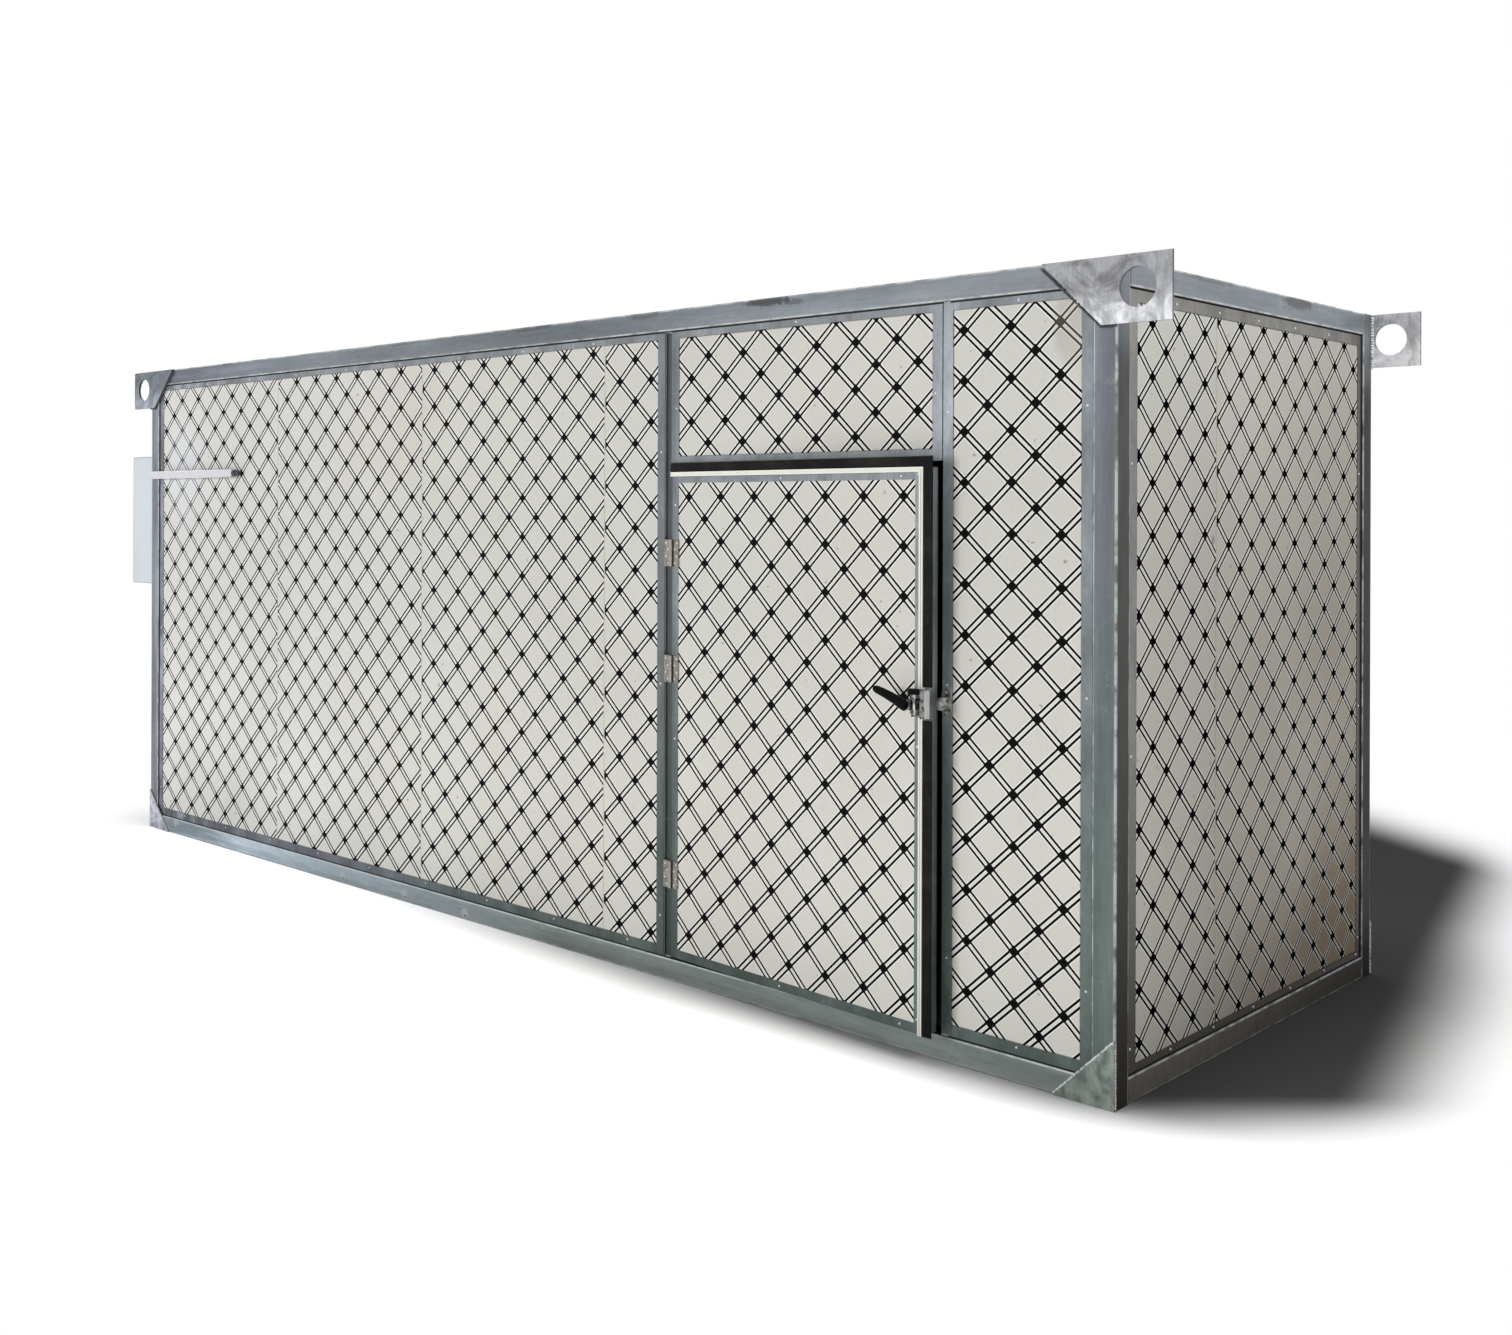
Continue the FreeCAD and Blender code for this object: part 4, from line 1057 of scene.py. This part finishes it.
def raise_face(shape, face, inset, lift):
    """Insets a face and lifts the new one."""
    if inset:
        bmesh.ops.inset_individual(shape, faces=[face], thickness=inset, use_even_offset=True)
        bmesh.ops.translate(shape, verts=face.verts[:], vec=lift)
        return face
    grown = bmesh.ops.extrude_discrete_faces(shape, faces=[face])["faces"][0]
    bmesh.ops.translate(shape, verts=grown.verts[:], vec=lift)
    return grown


def spaced(start, end, pitch, phase):
    """Places one pitch apart between two ends, in step with a phase."""
    first = math.ceil((start - phase) / pitch)
    last = math.floor((end - phase) / pitch)
    return [phase + pitch * number for number in range(first, last + 1)]


class RivetRuns(NamedTuple):
    """The rivets round one bay: strip middles from its edges, and the phases of its runs."""

    trim: str
    axis: int
    normal: tuple
    bottom: float
    top: float
    side: float
    pitch: float
    phase_bottom: float
    phase_top: float
    phase_up: float


# From an edging's outer edge to the middle of its strip, and how far upright runs keep off its ends
STRIP = 0.018
END_CLEARANCE = 0.05


def bay_places(runs, low, high, upright_pitch):
    """Rivet places as along and up, on the middle lines of a bay's four strips."""
    left, right = low[runs.axis] + runs.side, high[runs.axis] - runs.side
    base, head = low.z + runs.bottom, high.z - runs.top
    places = [(along, base) for along in spaced(left, right, runs.pitch, runs.phase_bottom)]
    places += [(along, head) for along in spaced(left, right, runs.pitch, runs.phase_top)]
    for up in spaced(base + END_CLEARANCE, head - END_CLEARANCE, upright_pitch, runs.phase_up):
        places += [(left, up), (right, up)]
    return places


class CHAMBER_OT_add_rivets(Operator):
    """Rivets along the edging of every bay and round the leaf"""

    bl_idname = "drying_chamber.add_rivets"
    bl_label = "Rivets"

    def execute(self, context):
        sizes = context.scene.chamber_fasteners
        front, end = sizes.front_pitch, sizes.end_pitch
        finish = Finish("rivet head", roughness=0.35, metallic=0.4)
        tone = finish.swing(finish.noise(90.0, 3.0), 0.85, 1.1)
        finish.colour(finish.shade((0.72, 0.74, 0.76), tone))
        bays = (
            RivetRuns("front_trim", 0, (0, -1, 0), 0.022, 0.012, STRIP, front, -0.426, -0.20, 1.10),
            RivetRuns("over_door_trim", 0, (0, -1, 0), 0.029, 0.008, 0.026, 1.17, 1.121, 1.703, 3.0),
            RivetRuns("lock_side_trim", 0, (0, -1, 0), 0.022, 0.012, STRIP, front, 2.60, 2.60, 2.068),
            RivetRuns("back_trim", 0, (0, 1, 0), 0.012, 0.020, STRIP, front, -0.426, -0.20, 1.10),
            RivetRuns("right_end_trim", 1, (1, 0, 0), 0.012, 0.020, STRIP, end, -0.317, -0.290, 1.896),
            RivetRuns("left_end_trim", 1, (-1, 0, 0), 0.012, 0.020, STRIP, end, -0.317, -0.290, 1.896),
        )
        for runs in bays:
            shape = bmesh.new()
            low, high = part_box(runs.trim)
            outer = high if sum(runs.normal) > 0 else low
            for along, up in bay_places(runs, low, high, sizes.upright_pitch):
                point = (along, outer.y, up) if runs.axis == 0 else (outer.x, along, up)
                add_rivet(shape, facing(point, runs.normal), sizes)
            new_piece("rivets_" + runs.trim.replace("_trim", ""), shape, finish, SHELL)
        shape = bmesh.new()
        low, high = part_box("roof_trim")
        places = []
        for along in spaced(low.x, high.x, front, 0.0):
            places += [(along, low.y + STRIP), (along, high.y - STRIP)]
        for across in spaced(low.y, high.y, front, 0.0):
            places += [(low.x + STRIP, across), (high.x - STRIP, across)]
        for place in places:
            add_rivet(shape, facing((*place, high.z), (0, 0, 1)), sizes)
        new_piece("rivets_roof", shape, finish, SHELL)
        shape = bmesh.new()
        normal = leaf_outward()
        low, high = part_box("door_trim")
        # The leaf's strips, from the hinge axis and from the edging's ends
        head, foot, lock_side = high.z - 0.028, low.z + 0.016, 1.174
        places = []
        for height in spaced(foot, high.z, sizes.upright_pitch, 1.001):
            places += [(lock_side, height), (STRIP, height - 0.10)]
        for along in spaced(0.030, lock_side - 0.020, 0.54, 1.104):
            places += [(along, head), (along, foot)]
        for along, height in places:
            add_rivet(shape, facing(on_leaf(along, LEAF_FACE, height), normal), sizes)
        new_piece("rivets_door", shape, finish, DOOR)
        return {"FINISHED"}


def add_screw(shape, place, radius, facets):
    """A screw head with a chamfered rim and a socket: insets and rises as shares of its radius."""
    face, out = round_head(shape, place, radius, facets)
    for inset, rise in ((0.0, 0.12), (0.18, 0.10), (0.36, 0.0), (0.04, -0.35)):
        face = raise_face(shape, face, radius * inset, out * radius * rise)


# Hinges: their length, the level of the middle one, and their four screws as steps up from the
# middle and offsets from the axis. The screws sit a little inward of the axis
HINGE_LENGTH = 0.100
MIDDLE_HINGE = 1.160
HINGE_SCREWS = ((-0.038, 0.018), (-0.013, 0.029), (0.013, 0.018), (0.038, 0.029))
HINGE_SEAT = 0.0035
# The latch plate's two rows of screws, from the hinge axis, and its face
LATCH_ROWS = (1.170, 1.199)
LATCH_SEAT = -0.0085


class CHAMBER_OT_add_screws(Operator):
    """Screws of the hinges, the latch and the keeper"""

    bl_idname = "drying_chamber.add_screws"
    bl_label = "Screws"

    def execute(self, context):
        sizes = context.scene.chamber_fasteners
        finish = worn_steel("screw steel", (0.88, 0.87, 0.85), (0.30, 0.26, 0.22), 0.25, 0.3)
        low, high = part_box("hinge_frame_wings")
        post = bmesh.new()
        leaf = bmesh.new()
        foot, _ = hinge_line()
        out = leaf_outward()
        for middle in (low.z + HINGE_LENGTH / 2, MIDDLE_HINGE, high.z - HINGE_LENGTH / 2):
            for step, offset in HINGE_SCREWS:
                point = Vector((foot.x - offset, foot.y + HINGE_SEAT, middle + step))
                add_screw(post, facing(point, (0, -1, 0)), sizes.screw, sizes.facets)
                point = on_leaf(offset, HINGE_SEAT, middle + step)
                add_screw(leaf, facing(point, out), sizes.screw, sizes.facets)
        new_piece("hinge_screws_post", post, finish, SHELL)
        low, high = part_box("latch_body")
        for height in (low.z + 0.010, high.z - 0.010):
            for row in LATCH_ROWS:
                point = on_leaf(row, LATCH_SEAT, height)
                add_screw(leaf, facing(point, out), sizes.screw, sizes.facets)
        new_piece("door_screws", leaf, finish, DOOR)
        keeper = bmesh.new()
        low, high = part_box("latch_keeper")
        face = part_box("lock_side_trim")[0].y - 0.003
        for height in (low.z + 0.012, high.z - 0.012):
            point = ((low.x + high.x) / 2, face, height)
            add_screw(keeper, facing(point, (0, -1, 0)), sizes.screw * 1.1, sizes.facets)
        bright = worn_steel("keeper screw steel", (0.80, 0.79, 0.77), (0.12, 0.09, 0.07), 0.3, 0.3)
        new_piece("keeper_screws", keeper, bright, SHELL)
        return {"FINISHED"}


def run_bead(shape, start, end, radius, chance):
    """A weld bead: overlapping drops along a line, of slightly uneven size and slightly off it."""
    start, end = Vector(start), Vector(end)
    line = end - start
    steps = max(2, int(line.length / (radius * 1.05)))
    turn = line.to_track_quat("Z", "Y").to_matrix().to_4x4()
    flat = Matrix.Diagonal((1.0, 1.0, 0.6, 1.0))
    for step in range(steps + 1):
        size = radius * chance.uniform(0.78, 1.12)
        wander = Vector(chance.uniform(-0.14, 0.14) * radius for _ in range(3))
        place = Matrix.Translation(start + line * step / steps + wander) @ turn @ flat
        bmesh.ops.create_icosphere(shape, subdivisions=1, radius=size, matrix=place)


def weld_metal(name, bright):
    """Weld metal with heat tints."""
    finish = Finish(name, metallic=0.2)
    tint = finish.noise(85.0, 4.0, 0.6)
    finish.colour(finish.blend(finish.span(tint, 0.50, 0.70), bright, (0.16, 0.14, 0.125)))
    finish.roughness(finish.swing(tint, 0.28, 0.6))
    finish.bump(finish.noise(420.0, 3.0), 0.0006, 0.6)
    return finish


def weld_corner(side_x, side_y, bead, chance, gussets, plates, corners):
    """The beads of the gusset and the lifting plate at one upright edge of the frame."""
    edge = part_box("corner_post_back_right")[1]
    corner, face = edge.x * side_x, edge.y * side_y
    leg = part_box("corner_gussets")[1].z
    # Gusset: its slanting side, which stands proud of the wall, and its side at the edge
    proud = face + side_y * 0.0045
    start = (corner - side_x * (leg - 0.004), proud, bead * 1.3)
    run_bead(gussets, start, (corner - side_x * 0.004, proud, leg - 0.004), bead, chance)
    side = corner + side_x * 0.0005
    run_bead(gussets, (side, face, bead * 1.4), (side, face, leg - 0.01), bead * 0.9, chance)
    # Plate: its slanting side, its foot and its side at the edge
    wall, end = "front" if side_y < 0 else "back", "left" if side_x < 0 else "right"
    low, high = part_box("lifting_plate_%s_%s" % (wall, end))
    # The plate's beads stand out past its edges; their near-black finish is painted shadow of the crevice
    out = side_y * (1.6 if side_y < 0 else 0.8)
    top = Vector((low.x if side_x > 0 else high.x, face, high.z - bead * 2.2))
    heel = Vector((corner - side_x * 0.048, face, low.z))
    slope = (heel - top).normalized()
    off = Vector((slope.z * side_x, out, -slope.x * side_x)) * bead * 0.9
    run_bead(plates, top + off, heel + off, bead * 0.9, chance)
    off = Vector((0.0, out, -1.0)) * bead * 0.8
    run_bead(plates, heel + off, Vector((corner, face, low.z)) + off, bead * 0.9, chance)
    place = (corner + side_x * 0.002, face - side_y * 0.002)
    top = min(high.z, CAD_HIGH.z) - bead * 1.6 - 0.004
    run_bead(corners, (*place, low.z + 0.008), (*place, top), bead * 1.8, chance)


class CHAMBER_OT_add_welds(Operator):
    """Weld beads of the gussets, the lifting plates and the door posts"""

    bl_idname = "drying_chamber.add_welds"
    bl_label = "Welds"

    def execute(self, context):
        bead = context.scene.chamber_fasteners.bead
        chance = random.Random(7)
        gussets, plates, corners, posts = (bmesh.new() for _ in range(4))
        for side_x in (-1, 1):
            for side_y in (-1, 1):
                weld_corner(side_x, side_y, bead, chance, gussets, plates, corners)
        for post, inset in (("hinge_post", 0.007), ("lock_post", 0.004)):
            low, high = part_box(post)
            for level in (low.z + 0.002, high.z - 0.002):
                start = (low.x + inset, low.y - 0.001, level)
                run_bead(posts, start, (high.x - inset, low.y - 0.001, level), bead * 0.8, chance)
        welds = (
            ("gusset_welds", gussets, weld_metal("bright weld", (0.80, 0.81, 0.82))),
            ("corner_welds", corners, weld_metal("corner weld", (0.95, 0.95, 0.95))),
            # Painted shadow: the plates' beads are near black
            ("plate_welds_and_shadow", plates, weld_metal("plate weld and shadow", (0.070, 0.070, 0.075))),
            ("post_welds", posts, weld_metal("post weld", (0.60, 0.62, 0.64))),
        )
        for name, shape, finish in welds:
            new_piece(name, shape, finish, SHELL)
        return {"FINISHED"}


class CHAMBER_OT_add_trunking_lid(Operator):
    """The snap-on lid of the cable trunking, with its two rounded lips"""

    bl_idname = "drying_chamber.add_trunking_lid"
    bl_label = "Trunking lid"

    def execute(self, context):
        low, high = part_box("cable_trunking")
        lip = 0.0022
        along = Matrix.Rotation(math.pi / 2, 4, "Y")
        shape = bmesh.new()
        for height in (low.z + 0.002, high.z - 0.002):
            place = Matrix.Translation(((low.x + high.x) / 2, low.y, height)) @ along
            bmesh.ops.create_cone(
                shape, cap_ends=True, segments=12, radius1=lip, radius2=lip, depth=high.x - low.x,
                matrix=place,
            )
        # The lips are paler than the trunking: a painted highlight along its top and bottom edges
        finish = moulded("lid plastic", (0.82, 0.82, 0.84), 0.32, 0.03)
        new_piece("trunking_lid_lips", shape, finish, SHELL)
        return {"FINISHED"}


# Stage


def add_lights(context):
    """A large soft light far off at the front left, one above the end by the door, and one overhead."""
    stage = context.scene.chamber_stage
    lamps = (
        ("key light", Vector((-14.0, -36.0, 6.0)), Vector((0.0, 0.0, 1.1)), 14.0, stage.key_watts),
        ("end light", Vector((5.0, -0.95, 4.4)), Vector((2.94, -0.4, 1.9)), 0.8, stage.end_watts),
        ("top light", Vector((0.0, 0.0, 14.0)), Vector((0.0, 0.0, 0.0)), 6.0, stage.top_watts),
    )
    for name, place, aim, size, power in lamps:
        light = bpy.data.lights.new(name, "AREA")
        light.shape = "SQUARE"
        light.size = size
        light.energy = power
        lamp = bpy.data.objects.new(name, light)
        lamp.location = place
        lamp.rotation_euler = (aim - place).to_track_quat("-Z", "Y").to_euler()
        lamp.visible_camera = False
        lamp.visible_glossy = False
        context.scene.collection.objects.link(lamp)


def white_world(context):
    """Even light for the object, and plain white where the camera, metal and glass look past it."""
    world = bpy.data.worlds.new("white surroundings")
    world.use_nodes = True
    tree = world.node_tree
    tree.nodes.clear()
    output = tree.nodes.new("ShaderNodeOutputWorld")
    choice = tree.nodes.new("ShaderNodeMixShader")
    path = tree.nodes.new("ShaderNodeLightPath")
    seen = path.outputs["Is Camera Ray"]
    for name in ("Is Glossy Ray", "Is Transmission Ray"):
        either = tree.nodes.new("ShaderNodeMath")
        either.operation = "MAXIMUM"
        tree.links.new(seen, either.inputs[0])
        tree.links.new(path.outputs[name], either.inputs[1])
        seen = either.outputs[0]
    tree.links.new(seen, choice.inputs[0])
    for socket, strength in zip(choice.inputs[1:], (context.scene.chamber_stage.sky, 1.0)):
        light = tree.nodes.new("ShaderNodeBackground")
        light.inputs["Color"].default_value = (1.0, 1.0, 1.0, 1.0)
        light.inputs["Strength"].default_value = strength
        tree.links.new(light.outputs[0], socket)
    tree.links.new(choice.outputs[0], output.inputs[0])
    context.scene.world = world


def outside_box(finish, point, low, high):
    """The distance of a point on the floor from a rectangle, 0 inside it."""
    overs = []
    for value, start, end in zip(point, low, high):
        from_middle = finish.gap(value, (start + end) / 2)
        overs.append(finish.most(finish.minus(from_middle, (end - start) / 2), 0.0))
    return finish.diagonal(*overs)


# Soft sides of the painted shadow past the object's end: the direction across
# each side on the floor, and how far along it the floor is white and fully shaded
SHADOW_SIDES = (
    (0.975, 0.225, 3.82, 3.16),
    (-0.693, 0.721, -3.14, -2.58),
    (0.565, 0.824, 4.90, 3.95),
    (0.0, 1.0, -1.32, -0.82),
)
# The floor as the camera sees it in the light and in that painted shadow, and as it lights the object
FLOOR_LIT = (2.2, 2.2, 2.2)
FLOOR_PAINTED_SHADOW = (0.092, 0.092, 0.092)
FLOOR_BOUNCE = (0.36, 0.36, 0.36)


def floor_finish():
    """A pale floor that keeps the object's shadow near it, adds a painted shadow past its end,
    and is white further out.
    """
    finish = Finish("pale floor")
    tree = finish.tree
    tree.nodes.remove(finish.surface)
    matt = finish.add("ShaderNodeBsdfDiffuse")
    path = finish.add("ShaderNodeLightPath")
    x, y, _ = finish.parts(finish.place)
    shadow = finish.span(x, -1.5, 1.9, smooth=True)
    for across_x, across_y, white, dark in SHADOW_SIDES:
        off = finish.plus(finish.times(x, across_x), finish.times(y, across_y))
        shadow = finish.times(shadow, finish.span(off, white, dark, smooth=True))
    seen = finish.shade(FLOOR_LIT, finish.swing(finish.noise(1.5, 3.0), 0.995, 1.005))
    seen = finish.blend(shadow, seen, FLOOR_PAINTED_SHADOW)
    finish.put(matt.inputs[0], finish.blend(path.outputs["Is Camera Ray"], FLOOR_BOUNCE, seen))
    glow = finish.add("ShaderNodeEmission")
    glow.inputs["Strength"].default_value = 1.0
    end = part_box("corner_post_back_right")[1]
    off = outside_box(finish, (x, y), (-end.x, -end.y), (end.x, end.y))
    clear = finish.times(finish.span(off, 0.05, 0.95, smooth=True), finish.minus(1.0, shadow))
    choice = finish.add("ShaderNodeMixShader")
    finish.put(choice.inputs[0], clear)
    tree.links.new(matt.outputs[0], choice.inputs[1])
    tree.links.new(glow.outputs[0], choice.inputs[2])
    tree.links.new(choice.outputs[0], finish.output.inputs[0])
    return finish


# Camera fitted to the photograph: it stands level and its frame is shifted
CAMERA_PLACE = (5.2555, -5.1185, 1.7576)
CAMERA_TURN = (math.pi / 2, -0.00316, 0.76583)
CAMERA_SHIFT = (0.03628, -0.10504)


class CHAMBER_OT_set_stage(Operator):
    """Floor, lights, white surroundings and the camera at the photograph's angle"""

    bl_idname = "drying_chamber.set_stage"
    bl_label = "Stage"

    def execute(self, context):
        stage = context.scene.chamber_stage
        shape = bmesh.new()
        bmesh.ops.create_grid(shape, x_segments=1, y_segments=1, size=stage.floor_size / 2)
        mesh = bpy.data.meshes.new("floor")
        shape.to_mesh(mesh)
        shape.free()
        mesh.materials.append(floor_finish().material)
        floor = bpy.data.objects.new("floor", mesh)
        # Half a millimetre under the base, so that the two don't share a plane
        floor.location.z = -0.0005
        context.scene.collection.objects.link(floor)
        add_lights(context)
        white_world(context)
        view = bpy.data.cameras.new("camera")
        view.sensor_fit = "HORIZONTAL"
        view.sensor_width = 36.0
        view.lens = stage.lens
        view.shift_x, view.shift_y = CAMERA_SHIFT
        view.clip_end = 200.0
        camera = bpy.data.objects.new("camera", view)
        camera.location = CAMERA_PLACE
        camera.rotation_euler = CAMERA_TURN
        context.scene.collection.objects.link(camera)
        context.scene.camera = camera
        context.scene.view_settings.view_transform = "Standard"
        return {"FINISHED"}


class CHAMBER_PT_pieces(Panel):
    """Lists the pieces of the drying chamber"""

    bl_label = "Drying Chamber"
    bl_idname = "CHAMBER_PT_pieces"
    bl_space_type = "VIEW_3D"
    bl_region_type = "UI"
    bl_category = "Drying Chamber"

    def draw(self, context):
        for step in STEPS:
            self.layout.operator(step.bl_idname)
        for name in SETTINGS:
            group = getattr(context.scene, name)
            box = self.layout.box()
            for item in group.bl_rna.properties:
                if not item.is_readonly and item.identifier != "name":
                    box.prop(group, item.identifier)


STEPS = (
    CHAMBER_OT_set_stage,
    CHAMBER_OT_print_panels,
    CHAMBER_OT_finish_frame,
    CHAMBER_OT_finish_edging,
    CHAMBER_OT_finish_plates,
    CHAMBER_OT_finish_seal,
    CHAMBER_OT_finish_hardware,
    CHAMBER_OT_finish_services,
    CHAMBER_OT_add_rivets,
    CHAMBER_OT_add_screws,
    CHAMBER_OT_add_welds,
    CHAMBER_OT_add_trunking_lid,
)


def register():
    for item in (*SETTINGS.values(), *STEPS, CHAMBER_PT_pieces):
        bpy.utils.register_class(item)
    for name, group in SETTINGS.items():
        setattr(bpy.types.Scene, name, PointerProperty(type=group))


def unregister():
    for name in SETTINGS:
        delattr(bpy.types.Scene, name)
    for item in reversed((*SETTINGS.values(), *STEPS, CHAMBER_PT_pieces)):
        bpy.utils.unregister_class(item)


def main():
    """Registers the classes and makes every piece in order."""
    register()
    for step in STEPS:
        group, name = step.bl_idname.split(".")
        getattr(getattr(bpy.ops, group), name)()


if __name__ == "__main__":
    main()
